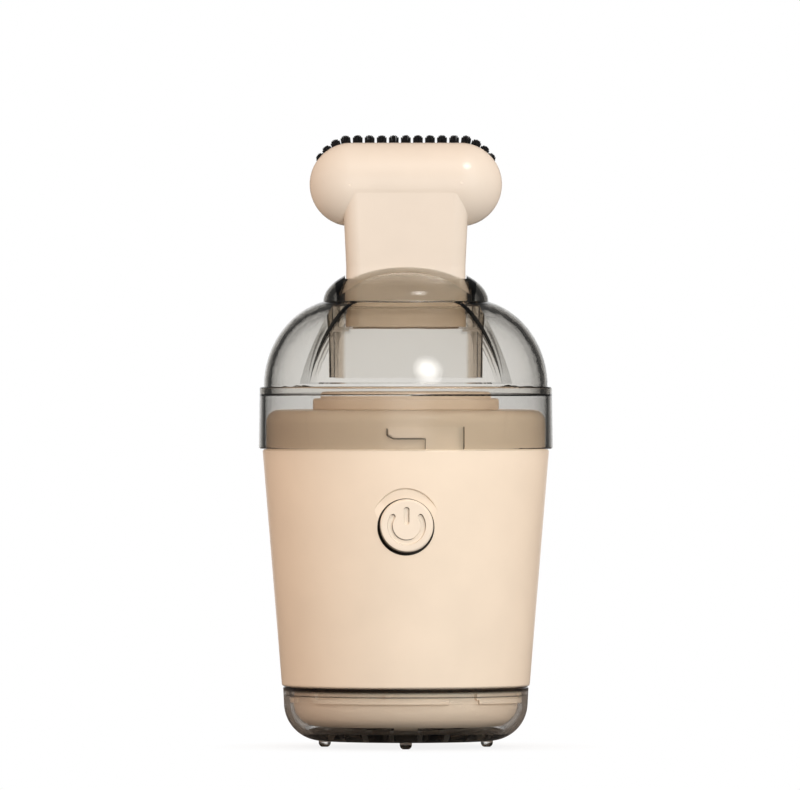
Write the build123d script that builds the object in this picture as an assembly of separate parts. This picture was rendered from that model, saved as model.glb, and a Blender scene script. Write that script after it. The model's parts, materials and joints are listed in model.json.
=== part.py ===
from build123d import *
import os
from math import atan2, cos, degrees, radians, sin, tan

# Small upright handheld vacuum cleaner. Millimetres, +Z up, front towards -Y.
# The origin is on the standing surface, under the middle of the feet.

os.makedirs("parts", exist_ok=True)

# Clearances, and how far joined shapes bite into each other and cutters run past a face
seam = 0.15
slide_fit = 0.3
turn_fit = 0.35
push_fit = 0.05
screw_fit = 0.1
bearing_fit = 0.05
press_gap = 0.02
bite = 0.2
past = 1.0

# Bucket body
body_bottom_z = 16.6
body_height = 64.35
body_bottom_r = 33.7
body_top_r = 39.0
body_wall = 2.0
body_edge_round = 0.6
body_top_z = body_bottom_z + body_height

# Power button and its dish
button_z = 60.2
button_r = 7.2
button_gap = 0.5
button_proud = 0.6
button_flange_r = 8.6
button_flange_t = 1.0
button_stem_r = 2.2
button_travel = 0.8
button_edge_round = 0.7
dish_r = 11.3
dish_floor_r = 9.6
dish_depth = 0.6
dish_reach = 3.0
dish_flare = 0.6

# Base cap and its feet
foot_height = 1.7
foot_r = 1.65
foot_tip_r = 0.9
foot_round_z = 1.2
foot_circle_r = 22.05
foot_count = 4
cap_step = 0.3
cap_draft = 3.0
cap_wall = 1.45
cap_floor = 2.9
cap_corner_r = 10.3
cap_lip_round = 0.3
cap_hole_r = 7.2
cap_slot_count = 16
cap_slot_inner_r = 10.5
cap_slot_outer_r = 19.0
cap_slot_width = 2.2
cap_lug_z = 13.85
cap_lug_height = 1.35
cap_lug_width = 6.0
cap_twist = 30.0
cap_lug_count = 4
cap_entry_gap = 1.6
cap_stop_width = 1.8
cap_stop_gap = 0.8

# Drum inside the base cap
drum_gap = 3.0
drum_bottom_z = 4.9
drum_corner_r = 7.3
drum_wall = 1.8
drum_floor = 1.6
drum_shoulder = 1.0
drum_chamfer = 1.5
vent_depth = 1.1
vent_outer_r = 27.0
vent_rib_width = 6.4
vent_hub_r = 6.5
vent_slot_inner_r = 9.5
vent_slot_outer_r = 17.5
vent_slot_angle = 56.0
rim_height = 1.25
rim_reach = 1.1
spigot_height = 7.4
spigot_wall = 1.5
ledge_z = 15.9
post_circle_r = 22.0
post_r = 3.0
post_top_z = 26.0
post_count = 4
base_screw_r = 1.1
base_screw_head_r = 2.1
base_screw_head_h = 1.3
base_screw_depth = 6.0
boss_end = 2.0
screw_seat_t = 1.0
screw_hole_end = 0.6

# Neck and filter well of the top cover
neck_step = 1.0
neck_height = 10.55
neck_round = 3.3
neck_wall = 3.2
skirt_depth = 6.0
deck = 1.8
well_inset = 15.6
well_wall = 1.6
well_depth = 15.5
well_floor = 1.5
inlet_r = 12.0
guard_bar = 1.6
cover_post_out = 2.9
cover_post_r = 2.7
cover_post_z = 70.0
cover_post_count = 3
neck_r = body_top_r - neck_step
neck_inner_r = neck_r - neck_wall
neck_top_z = body_top_z + neck_height
well_r = neck_r - well_inset
well_floor_z = neck_top_z - well_depth
well_under_z = well_floor_z - well_floor

# Bayonet between the neck and the dust cup
lug_count = 3
lug_reach = 1.0
slot_reach = 1.4
slot_left_x = -5.05
slot_right_x = 15.5
entry_left_x = 5.2
slot_bottom_z = 83.9
slot_top_z = 87.1
slot_nip_x = 1.7
slot_nip_z = 0.9

# Dust cup
collar_wall = 1.75
collar_draft = 0.25
collar_top_z = 97.9
collar_round = 0.5
cup_wall = 2.0
dome_step = 1.1
dome_centre_r = 17.2
dome_rise = 24.0
facet_start_out = 0.4
facet_top_r = 21.4
facet_top_z = 120.6
facet_base_angle = 71.0
facet_half_top = 14.2
facet_half_mid = 20.5
facet_half_base = 26.2
facet_mid_z = 112.7
facet_corner_r = 4.0
mouth_r = 22.5
mouth_centre_z = 121.0
mouth_rise = 10.8
mouth_wall = 2.3
socket_wall = 1.5
socket_bottom_z = 118.6
duct_out_x = 4.5
duct_out_y = 2.7
duct_wall = 1.5
duct_corner_r = 4.2
duct_bottom_z = 100.3
duct_shelf = 1.5
stem_ledge_t = 1.2
stem_ledge_reach = 1.0
collar_inner_r = neck_r + slide_fit
collar_bottom_r = collar_inner_r + collar_wall
collar_top_r = collar_bottom_r - collar_draft
dome_base_r = collar_top_r - dome_step

# Brush nozzle
stem_half_x = 16.2
stem_half_y = 10.9
stem_top_half_x = 17.25
stem_top_half_y = 12.2
stem_corner_r = 4.0
stem_bottom_z = 113.9
stem_taper_z = 130.6
head_r = 11.35
head_half_x = 14.8
head_round_r = 12.3
head_edge_r = 4.0
head_z = 152.95
head_wall = 1.8
suction_half_x = 15.5
suction_half_y = 2.5
duct_half_x = stem_half_x + duct_out_x
duct_half_y = stem_half_y + duct_out_y

# Bristle rows
row_y = 3.5
strip_half_y = 1.0
strip_base_r = 10.3
strip_top_r = 11.05
strip_end_angle = 58.0
strip_end_gap = 0.3
tuft_tip_r = 13.45
tuft_tip_drop = 1.2
tuft_flat_pitch = 3.28
tuft_flat_count = 9
tuft_first_angle = 7.5
tuft_angle_pitch = 13.8
tuft_end_count = 4
strand = 0.5
strand_pitch = 0.7
strand_root = 0.4

# Filter cartridge
flange_out = 2.9
flange_height = 3.1
flange_round = 0.7
basket_wall = 1.5
basket_height = 14.2
basket_lip = 1.6
lid_out = 0.8
lid_height = 1.8
lid_round = 1.0
lid_spigot = 1.4
lid_slot_count = 12
lid_slot_inner_r = 6.5
lid_slot_inset = 4.9
lid_slot_width = 3.0
pleat_pitch = 2.8
pleat_height = 9.6
pleat_thick = 2.8
gasket_out = 1.6
gasket_width = 1.4
gasket_height = 0.6
flange_r = well_r + flange_out
lid_r = well_r + lid_out
lid_slot_outer_r = well_r - lid_slot_inset
gasket_r = well_r + gasket_out

# Fan
fan_out = 0.6
fan_wall = 1.4
fan_cover_t = 1.6
fan_inlet_r = 9.0
fan_floor_z = 62.4
fan_floor_t = 1.6
fan_outlet_count = 8
fan_outlet_width = 5.0
fan_outlet_height = 4.4
fan_outlet_start = 34.5
fan_drain_inset = 4.4
fan_drain_hole_r = 1.9
ear_height = 1.8
motor_socket_depth = 7.4
motor_socket_wall = 1.5
impeller_inset = 3.0
impeller_z = 65.6
impeller_plate = 1.2
hub_r = 4.2
hub_height = 5.6
hub_taper = 0.8
blade_count = 8
blade_height = 5.2
blade_t = 1.0
blade_sweep = 52.0
blade_bow = 0.38
blade_inset = 0.4
blade_start = 1.0
fan_top_z = well_under_z - fan_cover_t
fan_r = well_r + fan_out
fan_drain_r = fan_r - fan_drain_inset
impeller_r = fan_r - impeller_inset
cover_post_circle_r = fan_r + cover_post_out

# Motor
motor_r = 12.2
motor_height = 30.0
motor_cap_r = 11.6
motor_cap_t = 3.8
sleeve_t = 0.8
motor_edge_round = 1.0
motor_boss_r = 3.8
motor_boss_h = 1.2
bearing_r = 3.0
bearing_t = 3.0
shaft_r = 1.15
shaft_bottom_z = 27.6
shaft_bore_gap = 0.4
motor_screw_x = 8.0
motor_screw_r = 1.2
motor_screw_head_r = 2.0
motor_screw_head_h = 1.1
motor_screw_depth = 5.0
tab_half_x = 1.4
tab_t = 0.5
tab_length = 3.0
tab_x = 7.0
motor_top_z = fan_floor_z
motor_bottom_z = motor_top_z - motor_height

# Fan screws
fan_screw_r = 1.1
fan_screw_head_r = 2.0
fan_screw_head_h = 1.3
fan_screw_depth = 8.0

# Batteries
cell_r = 7.1
cell_height = 42.0
cell_x = 22.2
cell_nub_r = 2.7
cell_nub_h = 1.0
cell_edge_round = 0.6
holder_plate = 1.5
holder_hole_r = 14.4
holder_cup_wall = 1.1
holder_cup_height = 9.0
cell_bottom_z = ledge_z + holder_plate

# Control board and switch
board_half_x = 13.5
board_bottom_z = 43.6
board_top_z = 73.4
board_t = 1.6
board_setback = 7.8
board_screw_x = 10.5
board_screw_low_z = 47.0
board_screw_high_z = 70.6
board_screw_r = 1.0
board_screw_head_r = 1.9
board_screw_head_h = 1.2
board_screw_depth = 4.0
board_boss_r = 2.3
chip_z = 51.3
chip_half = 2.5
chip_t = 1.4
coil_x = 7.4
coil_z = 58.3
coil_half = 2.0
coil_t = 2.2
switch_half = 3.0
switch_depth = 3.6
plunger_r = 1.7
plunger_fit = 0.2
plunger_inside = 1.1
plunger_proud = 0.7

# Charging port
port_half_x = 4.47
port_half_y = 1.63
port_bottom_z = 2.7
port_length = 7.3
port_corner_r = 1.3
port_shell = 0.3
port_cavity = 6.2
tongue_half_x = 3.35
tongue_t = 0.7
tongue_back = 0.6
port_board_half_x = 6.8
port_board_t = 1.2
port_board_top_z = 19.0
guide_reach = 1.5
guide_hold = 0.8
guide_height = 5.4

# Foam
foam_inner_r = 9.8
foam_height = 4.4
foam_gap = 1.7

# Sizes that follow from the ones above
body_slope = (body_top_r - body_bottom_r) / body_height
skirt_r = body_top_r - body_slope * skirt_depth - body_wall - slide_fit
button_wall_r = body_bottom_r + body_slope * (button_z - body_bottom_z)
button_face_y = -button_wall_r - button_proud
button_flange_y = slide_fit - ((button_wall_r - body_wall) ** 2 - button_flange_r ** 2) ** 0.5
board_front_y = button_flange_y + board_setback
cap_r = body_bottom_r - cap_step
drum_r = cap_r - drum_gap
cap_top_z = body_bottom_z - seam
cap_floor_z = foot_height + cap_floor
drum_floor_z = drum_bottom_z + vent_depth + drum_floor
drum_inner_r = drum_r - drum_wall
spigot_r = body_bottom_r - body_wall - slide_fit
spigot_inner_r = spigot_r - spigot_wall
rim_top_z = cap_lug_z - slide_fit
rim_r = drum_r + rim_reach
boss_bottom_z = post_top_z
boss_top_z = boss_bottom_z + base_screw_depth + boss_end
screw_seat_z = drum_floor_z + screw_seat_t
stem_end_y = board_front_y - switch_depth - button_travel - plunger_proud
lower_bearing_z = motor_bottom_z - motor_cap_t
upper_bearing_z = motor_top_z + motor_boss_h - bearing_t


def lathe(points, rounds=()):
    """Turn a closed outline of (radius, height) points about Z. rounds lists (point, radius)."""
    outline = make_face(Polyline(*points, close=True))
    for corner, radius in rounds:
        vertex = outline.vertices().sort_by_distance(Vector(*corner))[0]
        outline = fillet(vertex, radius)
    return revolve(Plane.XZ * outline, Axis.Z)


def ring(outer_r, inner_r, bottom_z, top_z):
    """Plain ring about Z."""
    height = top_z - bottom_z
    middle = (bottom_z + top_z) / 2
    return Pos(0, 0, middle) * (Cylinder(outer_r, height) - Cylinder(inner_r, height))


def post(radius, x, y, bottom_z, top_z):
    """Upright round post."""
    return Pos(x, y, (bottom_z + top_z) / 2) * Cylinder(radius, top_z - bottom_z)


def rod_y(radius, x, z, front_y, back_y):
    """Round rod along Y."""
    return Pos(x, (front_y + back_y) / 2, z) * Rot(90, 0, 0) * Cylinder(radius, back_y - front_y)


def block(low, high):
    """Box between its lowest and highest corner."""
    middle = [(a + b) / 2 for a, b in zip(low, high)]
    sides = [b - a for a, b in zip(low, high)]
    return Pos(*middle) * Box(*sides)


def tube_shape(half_x, half_y, corner_r, bottom_z, top_z):
    """Upright bar with a rounded-rectangle section."""
    section = RectangleRounded(2 * half_x, 2 * half_y, corner_r)
    return Pos(0, 0, bottom_z) * extrude(section, top_z - bottom_z)


def front_view(sketch, front_y, back_y):
    """Carry a sketch drawn in the front view, as (x, z), from front_y back to back_y."""
    return extrude(Plane.XZ.offset(-back_y) * sketch, back_y - front_y)


def around(shape, count, start=0.0):
    """The same shape, count times round Z."""
    return [Rot(0, 0, start + 360.0 * i / count) * shape for i in range(count)]


def body_outer_r(z):
    """Outer radius of the bucket body at a height."""
    return body_bottom_r + body_slope * (z - body_bottom_z)


def body_cone(shrink, low_z, high_z):
    """Solid cone of the body, made smaller by shrink."""
    return lathe([(0, low_z), (body_outer_r(low_z) - shrink, low_z),
                  (body_outer_r(high_z) - shrink, high_z), (0, high_z)])


def cap_outer_r(z):
    """Outer radius of the base cap's drafted wall at a height."""
    return cap_r - (cap_top_z - z) * tan(radians(cap_draft))


def bucket_body():
    """Tapered bucket with the button's hole and dish, screw bosses and board bosses."""
    inner_bottom = body_bottom_r - body_wall
    inner_top = body_top_r - body_wall
    low = (body_bottom_r, body_bottom_z)
    high = (body_top_r, body_top_z)
    shell = lathe([(inner_bottom, body_bottom_z), low, high, (inner_top, body_top_z)],
                  [(low, body_edge_round), (high, body_edge_round)])
    inside = body_cone(body_wall / 2, body_bottom_z + past, body_top_z - past)
    boss = post(post_r, post_circle_r, 0, boss_bottom_z, boss_top_z)
    web = block((post_circle_r, -body_wall / 2, boss_bottom_z), (body_bottom_r, body_wall / 2, boss_top_z))
    drill_top_z = boss_bottom_z + base_screw_depth + screw_hole_end
    drill = post(base_screw_r + screw_fit, post_circle_r, 0, boss_bottom_z - past, drill_top_z)
    for one in around((boss + web) & inside, post_count, 45):
        shell = shell + one
    for one in around(drill, post_count, 45):
        shell = shell - one
    for x in (-board_screw_x, board_screw_x):
        for z in (board_screw_low_z, board_screw_high_z):
            stud = rod_y(board_boss_r, x, z, -body_top_r, board_front_y) & inside
            hole = rod_y(board_screw_r + screw_fit, x, z,
                         board_front_y - board_screw_depth - screw_hole_end, board_front_y + past)
            shell = shell + stud - hole
    shell = shell - rod_y(button_r + button_gap, 0, button_z, -body_top_r - past, -dish_r)
    return shell - button_dish()


def button_dish():
    """Shallow round dish that follows the body's curve around the button."""
    outside = body_cone(-dish_reach, button_z - 1.5 * dish_r, button_z + 1.5 * dish_r)
    skin = outside - body_cone(dish_depth, button_z - 2 * dish_r, button_z + 2 * dish_r)
    length = dish_reach + dish_depth
    cutter = Cone(dish_floor_r, dish_r + dish_flare, length)
    return skin & (Pos(0, length / 2 - button_wall_r - dish_reach, button_z) * Rot(90, 0, 0) * cutter)


def base_drum():
    """Drum that closes the body's underside, with its vents, posts and spigot."""
    corner = (drum_r, drum_bottom_z)
    outline = [(0, drum_bottom_z), corner, (drum_r, rim_top_z - rim_height), (rim_r, rim_top_z - rim_height),
               (rim_r, rim_top_z), (drum_r, rim_top_z), (drum_r, body_bottom_z - drum_shoulder),
               (spigot_r, body_bottom_z), (spigot_r, body_bottom_z + spigot_height),
               (spigot_inner_r, body_bottom_z + spigot_height), (spigot_inner_r, ledge_z),
               (drum_inner_r, ledge_z), (drum_inner_r, drum_floor_z + drum_chamfer),
               (drum_inner_r - drum_chamfer, drum_floor_z),
               (0, drum_floor_z)]
    drum = lathe(outline, [(corner, drum_corner_r)])
    drum = drum - ring(vent_outer_r, vent_hub_r, 0, drum_bottom_z + vent_depth) + vent_ribs()
    for one in around(vent_slot(), 4, 45):
        drum = drum - one
    entry_half = cap_lug_width / 2 + cap_entry_gap
    entry = block((drum_r, -entry_half, 0), (rim_r + past, entry_half, rim_top_z + past))
    stop = ring(rim_r, drum_r - bite, rim_top_z - bite, cap_lug_z + cap_lug_height)
    stop = stop & block((0, -cap_stop_width / 2, 0), (2 * drum_r, cap_stop_width / 2, body_bottom_z))
    stop_angle = degrees((cap_lug_width / 2 + cap_stop_gap + cap_stop_width / 2) / rim_r)
    for i in range(cap_lug_count):
        locked = 360.0 * i / cap_lug_count
        drum = drum - Rot(0, 0, locked + cap_twist) * entry
        drum = drum + Rot(0, 0, locked - stop_angle) * stop
        drum = drum + Rot(0, 0, locked + cap_twist + stop_angle) * stop
    for one in around(post(post_r, post_circle_r, 0, drum_floor_z - bite, post_top_z), post_count, 45):
        drum = drum + one
    drill = (post(base_screw_r + 2 * screw_fit, post_circle_r, 0, 0, post_top_z + past)
             + post(base_screw_head_r + 2 * screw_fit, post_circle_r, 0, 0, screw_seat_z))
    for one in around(drill, post_count, 45):
        drum = drum - one
    opening = tube_shape(port_half_x + slide_fit, port_half_y + slide_fit, port_corner_r, 0,
                         drum_floor_z + past)
    return drum - opening + board_guides()


def vent_ribs():
    """Cross of ribs left standing between the four vent pockets."""
    top = drum_bottom_z + vent_depth + bite
    bar = block((-vent_outer_r, -vent_rib_width / 2, drum_bottom_z), (vent_outer_r, vent_rib_width / 2, top))
    corner = (drum_r, drum_bottom_z)
    core = lathe([(0, drum_bottom_z), corner, (drum_r, rim_top_z - rim_height), (0, rim_top_z - rim_height)],
                 [(corner, drum_corner_r)])
    return (bar + Rot(0, 0, 90) * bar) & core


def vent_slot():
    """Kidney-shaped air slot through the drum's floor."""
    wedge = ring(vent_slot_outer_r, vent_slot_inner_r, 0, drum_floor_z + past)
    half = vent_slot_angle / 2
    reach = 2 * vent_slot_outer_r
    corners = [(0, 0), (reach * cos(radians(half)), reach * sin(radians(half))),
               (reach * cos(radians(half)), -reach * sin(radians(half)))]
    return wedge & extrude(make_face(Polyline(*corners, close=True)), drum_floor_z + 2 * past)


def board_guides():
    """Two grooved posts on the drum's floor that hold the charging board's edges."""
    front_y = port_half_y
    back_y = port_half_y + port_board_t
    inner_x = port_board_half_x - guide_hold
    outer_x = port_board_half_x + guide_reach
    guide = block((inner_x, front_y - guide_reach, drum_floor_z - bite),
                  (outer_x, back_y + guide_reach, drum_floor_z + guide_height))
    groove = block((inner_x - past, front_y - push_fit, drum_floor_z),
                   (port_board_half_x + push_fit, back_y + push_fit, drum_floor_z + guide_height + past))
    right = guide - groove
    return right + mirror(right, Plane.YZ)


def base_cover():
    """Clear cap round the base, with nub feet, exhaust slots and lugs."""
    low = (cap_outer_r(foot_height), foot_height)
    high = (cap_r, cap_top_z)
    outer = lathe([(0, foot_height), low, high, (0, cap_top_z)], [(low, cap_corner_r), (high, cap_lip_round)])
    inner_low_z = foot_height + cap_wall
    inner_low = (cap_outer_r(inner_low_z) - cap_wall, inner_low_z)
    inner = lathe([(0, inner_low_z), inner_low, (cap_r - cap_wall, cap_top_z), (0, cap_top_z)],
                  [(inner_low, cap_corner_r - cap_wall)])
    inner = inner & block((-cap_r, -cap_r, cap_floor_z), (cap_r, cap_r, cap_top_z))
    cap = outer - inner
    for one in around(nub_foot(), foot_count):
        cap = cap + one
    slot = Pos((cap_slot_inner_r + cap_slot_outer_r) / 2, 0, 0) * extrude(
        SlotOverall(cap_slot_outer_r - cap_slot_inner_r, cap_slot_width), cap_floor_z + past)
    for one in around(slot, cap_slot_count, 180.0 / cap_slot_count):
        cap = cap - one
    cap = cap - post(cap_hole_r, 0, 0, 0, cap_floor_z + past)
    for one in around(cap_lug(), cap_lug_count):
        cap = cap + one
    return cap


def nub_foot():
    """Round nub foot with a small flat tip, on the +X side."""
    tip = (foot_tip_r, 0)
    shoulder = (foot_r, foot_round_z)
    top_z = foot_height + cap_wall / 2
    profile = make_face([Line((0, 0), tip), TangentArc(shoulder, tip, tangent=(0, -1)),
                         Line(shoulder, (foot_r, top_z)), Line((foot_r, top_z), (0, top_z)),
                         Line((0, top_z), (0, 0))])
    return Pos(foot_circle_r, 0, 0) * revolve(Plane.XZ * profile, Axis.Z)


def cap_lug():
    """Inward bayonet lug on the cap's wall, on the +X side."""
    wall_r = cap_outer_r(cap_lug_z) - cap_wall / 2
    band = ring(wall_r, drum_r + turn_fit, cap_lug_z, cap_lug_z + cap_lug_height)
    return band & block((0, -cap_lug_width / 2, 0), (2 * cap_r, cap_lug_width / 2, cap_top_z))


def bayonet_outline(left_x, right_x, low_z, high_z, nip_x, nip_z):
    """Front-view outline of a lug or slot run, with its lower left corner nipped off."""
    return make_face(Polyline((left_x + nip_x, low_z), (right_x, low_z), (right_x, high_z),
                              (left_x, high_z), (left_x, low_z + nip_z), close=True))


def neck_lug():
    """Bayonet lug at the front of the neck."""
    half = -slot_left_x - turn_fit
    outline = bayonet_outline(-half, half, slot_bottom_z + slide_fit, slot_top_z - slide_fit,
                              slot_nip_x, slot_nip_z)
    bar = front_view(outline, -2 * neck_r, -neck_r / 2)
    return bar & ring(neck_r + lug_reach, neck_r - past, body_top_z, neck_top_z)


def cup_slot():
    """L-shaped slot in the collar's inner wall, open at the bottom."""
    run = bayonet_outline(slot_left_x, slot_right_x, slot_bottom_z, slot_top_z, slot_nip_x, slot_nip_z)
    entry = make_face(Polyline((entry_left_x, body_top_z - past), (slot_right_x, body_top_z - past),
                               (slot_right_x, slot_top_z), (entry_left_x, slot_top_z), close=True))
    bar = front_view(run + entry, -2 * neck_r, -neck_r / 2)
    return bar & ring(neck_r + slot_reach, neck_r - past, body_top_z - 2 * past, collar_top_z)


def neck_cover():
    """Neck with bayonet lugs, deck, filter well with its guard, and posts for the fan."""
    top = (neck_r, neck_top_z)
    well_outer = well_r + well_wall
    outline = [(skirt_r, body_top_z - skirt_depth), (skirt_r, body_top_z), (neck_r, body_top_z), top,
               (well_r, neck_top_z), (well_r, well_floor_z), (inlet_r, well_floor_z), (inlet_r, well_under_z),
               (well_outer, well_under_z), (well_outer, neck_top_z - deck), (neck_inner_r, neck_top_z - deck),
               (neck_inner_r, body_top_z - skirt_depth)]
    cover = lathe(outline, [(top, neck_round)])
    bar = block((-inlet_r - past, -guard_bar / 2, well_under_z),
                (inlet_r + past, guard_bar / 2, well_floor_z))
    for angle in (0, 60, 120):
        cover = cover + Rot(0, 0, angle) * bar
    cover = cover - ring(gasket_r + gasket_width / 2, gasket_r - gasket_width / 2,
                         neck_top_z - gasket_height, neck_top_z + past)
    for one in around(neck_lug(), lug_count):
        cover = cover + one
    column = post(cover_post_r, cover_post_circle_r, 0, cover_post_z, neck_top_z - deck + bite)
    drill = post(fan_screw_r + screw_fit, cover_post_circle_r, 0, cover_post_z - past,
                 cover_post_z + fan_screw_depth + screw_hole_end)
    for one in around(column, cover_post_count, 90):
        cover = cover + one
    for one in around(drill, cover_post_count, 90):
        cover = cover - one
    return cover


def dome(inset):
    """Dome of revolution with an elliptical side, made smaller by inset."""
    centre = (dome_centre_r, collar_top_z)
    side = EllipticalCenterArc(centre, dome_base_r - dome_centre_r - inset, dome_rise - inset, 0, arc_size=90)
    top = collar_top_z + dome_rise - inset
    low = collar_top_z - cup_wall
    outline = make_face([Line((0, low), (dome_base_r - inset, low)),
                         Line((dome_base_r - inset, low), (dome_base_r - inset, collar_top_z)), side,
                         Line((dome_centre_r, top), (0, top)), Line((0, top), (0, low))])
    return revolve(Plane.XZ * outline, Axis.Z)


def facet_core(inset):
    """Flatter inner dome that shows in the facets, made smaller by inset."""
    base = Vector(dome_base_r + facet_start_out, collar_top_z)
    chord = Vector(facet_top_r, facet_top_z) - base
    tangent_angle = 180.0 - facet_base_angle
    half_turn = radians(tangent_angle - degrees(atan2(chord.Y, chord.X)))
    radius = chord.length / 2 / abs(sin(half_turn))
    centre = base + Vector(-sin(radians(tangent_angle)), cos(radians(tangent_angle))) * radius
    low = collar_top_z - 3 * cup_wall
    high = facet_top_z - inset
    window = Pos(dome_base_r, (low + high) / 2) * Rectangle(2 * dome_base_r, high - low)
    outline = (Pos(centre.X, centre.Y) * Circle(radius - inset)) & window
    return revolve(Plane.XZ * outline, Axis.Z)


def facet_window(grow):
    """Front-view outline of a facet with bowed sides, made larger by grow, as a bar forwards."""
    lean = atan2(facet_half_base - facet_half_top, facet_top_z - collar_top_z)
    side = grow / cos(lean)
    high = facet_top_z + grow
    low = collar_top_z - past
    foot = (facet_half_base + side, low)
    middle = (facet_half_mid + side, facet_mid_z)
    top = (facet_half_top + side, high)
    outline = make_face([Line((-foot[0], low), foot), ThreePointArc(foot, middle, top),
                         Line(top, (-top[0], high)),
                         ThreePointArc((-top[0], high), (-middle[0], facet_mid_z), (-foot[0], low))])
    corners = outline.vertices().sort_by(Axis.Y)[-2:]
    outline = fillet(corners, facet_corner_r + grow)
    return front_view(outline, -2 * dome_base_r, 0)


def shouldered(inset):
    """Dome with a facet recessed at the front and the rear, made smaller by inset."""
    recess = facet_window(inset) - facet_core(inset)
    return dome(inset) - recess - Rot(0, 0, 180) * recess


def pillow(radius, rise, low_z):
    """Oblate round pillow of the mouth, with a plain round foot down to low_z."""
    side = EllipticalCenterArc((0, mouth_centre_z), radius, rise, 0, arc_size=90)
    outline = make_face([Line((0, low_z), (radius, low_z)), Line((radius, low_z), (radius, mouth_centre_z)),
                         side, Line((0, mouth_centre_z + rise), (0, low_z))])
    return revolve(Plane.XZ * outline, Axis.Z)


def clear_cup():
    """Dust cup: collar with bayonet slots, flat shelf, shouldered dome, pillow mouth, stem socket."""
    low = (collar_bottom_r, body_top_z + seam)
    high = (collar_top_r, collar_top_z)
    collar = lathe([(0, low[1]), low, high, (0, collar_top_z)], [(low, collar_round), (high, collar_round)])
    inner_r = dome_base_r - cup_wall
    shelf = (collar_inner_r, collar_top_z - cup_wall)
    bore = lathe([(0, 0), (collar_inner_r, 0), shelf, (inner_r, shelf[1]), (inner_r, collar_top_z),
                  (0, collar_top_z)], [(shelf, collar_round)])
    mouth = pillow(mouth_r, mouth_rise, mouth_centre_z - bite)
    mouth_void = pillow(mouth_r - mouth_wall, mouth_rise - mouth_wall, socket_bottom_z - past)
    cup = collar + shouldered(0) + mouth
    cup = cup - bore - shouldered(cup_wall) - mouth_void
    socket_x = stem_half_x + slide_fit
    socket_y = stem_half_y + slide_fit
    socket = tube_shape(socket_x + socket_wall, socket_y + socket_wall, stem_corner_r + socket_wall,
                        socket_bottom_z, mouth_centre_z + mouth_rise) & mouth_solid()
    cup = cup + socket - stem_way()
    for one in around(cup_slot(), lug_count):
        cup = cup - one
    return cup


def stem_way():
    """The space that the nozzle's stem slides in, through the duct's shelf and the mouth."""
    return tube_shape(stem_half_x + slide_fit, stem_half_y + slide_fit, stem_corner_r,
                      socket_bottom_z - duct_shelf - past, mouth_centre_z + mouth_rise + past)


def air_duct():
    """Duct under the stem's socket: a shelf round the stem, four walls and ledges for its foot."""
    form = tube_shape(duct_half_x, duct_half_y, duct_corner_r, duct_bottom_z, socket_bottom_z)
    form = form & shouldered(cup_wall + push_fit)
    bore = tube_shape(duct_half_x - duct_wall, duct_half_y - duct_wall, duct_corner_r - duct_wall,
                      duct_bottom_z - past, socket_bottom_z - duct_shelf)
    return form - bore - stem_way() + (stem_ledges() & form)


def stem_ledges():
    """Ledges at both ends of the duct that the stem's foot stops on."""
    top = stem_bottom_z - seam
    inner_x = stem_half_x - stem_ledge_reach
    right = block((inner_x, -duct_half_y, top - stem_ledge_t), (duct_half_x, duct_half_y, top))
    return right + mirror(right, Plane.YZ)


def mouth_solid():
    """Everything inside the cup's outer skin up to the mouth, with a foot for the pillow."""
    return shouldered(cup_wall / 2) + pillow(mouth_r - bite, mouth_rise - bite, mouth_centre_z - cup_wall)


def head_section(inset):
    """Side-view section of the head about its middle: a circle with flat lands, smaller by inset."""
    round_r = head_round_r - inset
    section = Circle(round_r) & Rectangle(2 * round_r, 2 * (head_r - inset))
    return fillet(section.vertices(), head_edge_r - inset)


def nozzle_form(inset):
    """Outer form of the nozzle, made smaller by inset: a long round-ended head on a tapered stem."""
    section = head_section(inset)
    upper = section & (Pos(0, head_r) * Rectangle(2 * head_round_r, 2 * head_r))
    end = revolve(Plane.YZ * upper, Axis.Y)
    bar = extrude(Plane.YZ.offset(-head_half_x) * section, 2 * head_half_x)
    head = Pos(0, 0, head_z) * (bar + Pos(-head_half_x, 0, 0) * end + Pos(head_half_x, 0, 0) * end)
    corner_r = stem_corner_r - inset
    plug = tube_shape(stem_half_x - inset, stem_half_y - inset, corner_r, stem_bottom_z, stem_taper_z)
    low = Pos(0, 0, stem_taper_z) * RectangleRounded(2 * (stem_half_x - inset),
                                                     2 * (stem_half_y - inset), corner_r)
    high = Pos(0, 0, head_z) * RectangleRounded(2 * (stem_top_half_x - inset),
                                                2 * (stem_top_half_y - inset), corner_r)
    return head + plug + loft([low, high])


def nozzle():
    """Hollow nozzle with its suction slot and the two grooves for the bristle strips."""
    shape = nozzle_form(0) - nozzle_form(head_wall)
    shape = shape - tube_shape(stem_half_x - head_wall, stem_half_y - head_wall, stem_corner_r - head_wall,
                               stem_bottom_z - past, stem_bottom_z + past)
    shape = shape - tube_shape(suction_half_x, suction_half_y, suction_half_y - push_fit,
                               head_z + head_r / 2, head_z + 2 * head_r)
    groove = row_band(strip_base_r, head_r + past, strip_half_y + push_fit, strip_end_angle + strip_end_gap)
    return shape - Pos(0, -row_y, 0) * groove - Pos(0, row_y, 0) * groove


def row_band(inner_r, outer_r, half_y, end_angle):
    """Band that follows the head's top and rounded ends between two radii, about y = 0."""
    def stadium(radius):
        return SlotOverall(2 * (head_half_x + radius), 2 * radius)

    far = 4 * head_r
    reach_x = head_half_x + far * sin(radians(end_angle))
    reach_z = far * cos(radians(end_angle))
    sector = make_face(Polyline((-head_half_x, 0), (head_half_x, 0), (reach_x, reach_z), (-reach_x, reach_z),
                                close=True))
    outline = Pos(0, head_z) * ((stadium(outer_r) - stadium(inner_r)) & sector)
    return front_view(outline, -half_y, half_y)


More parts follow.
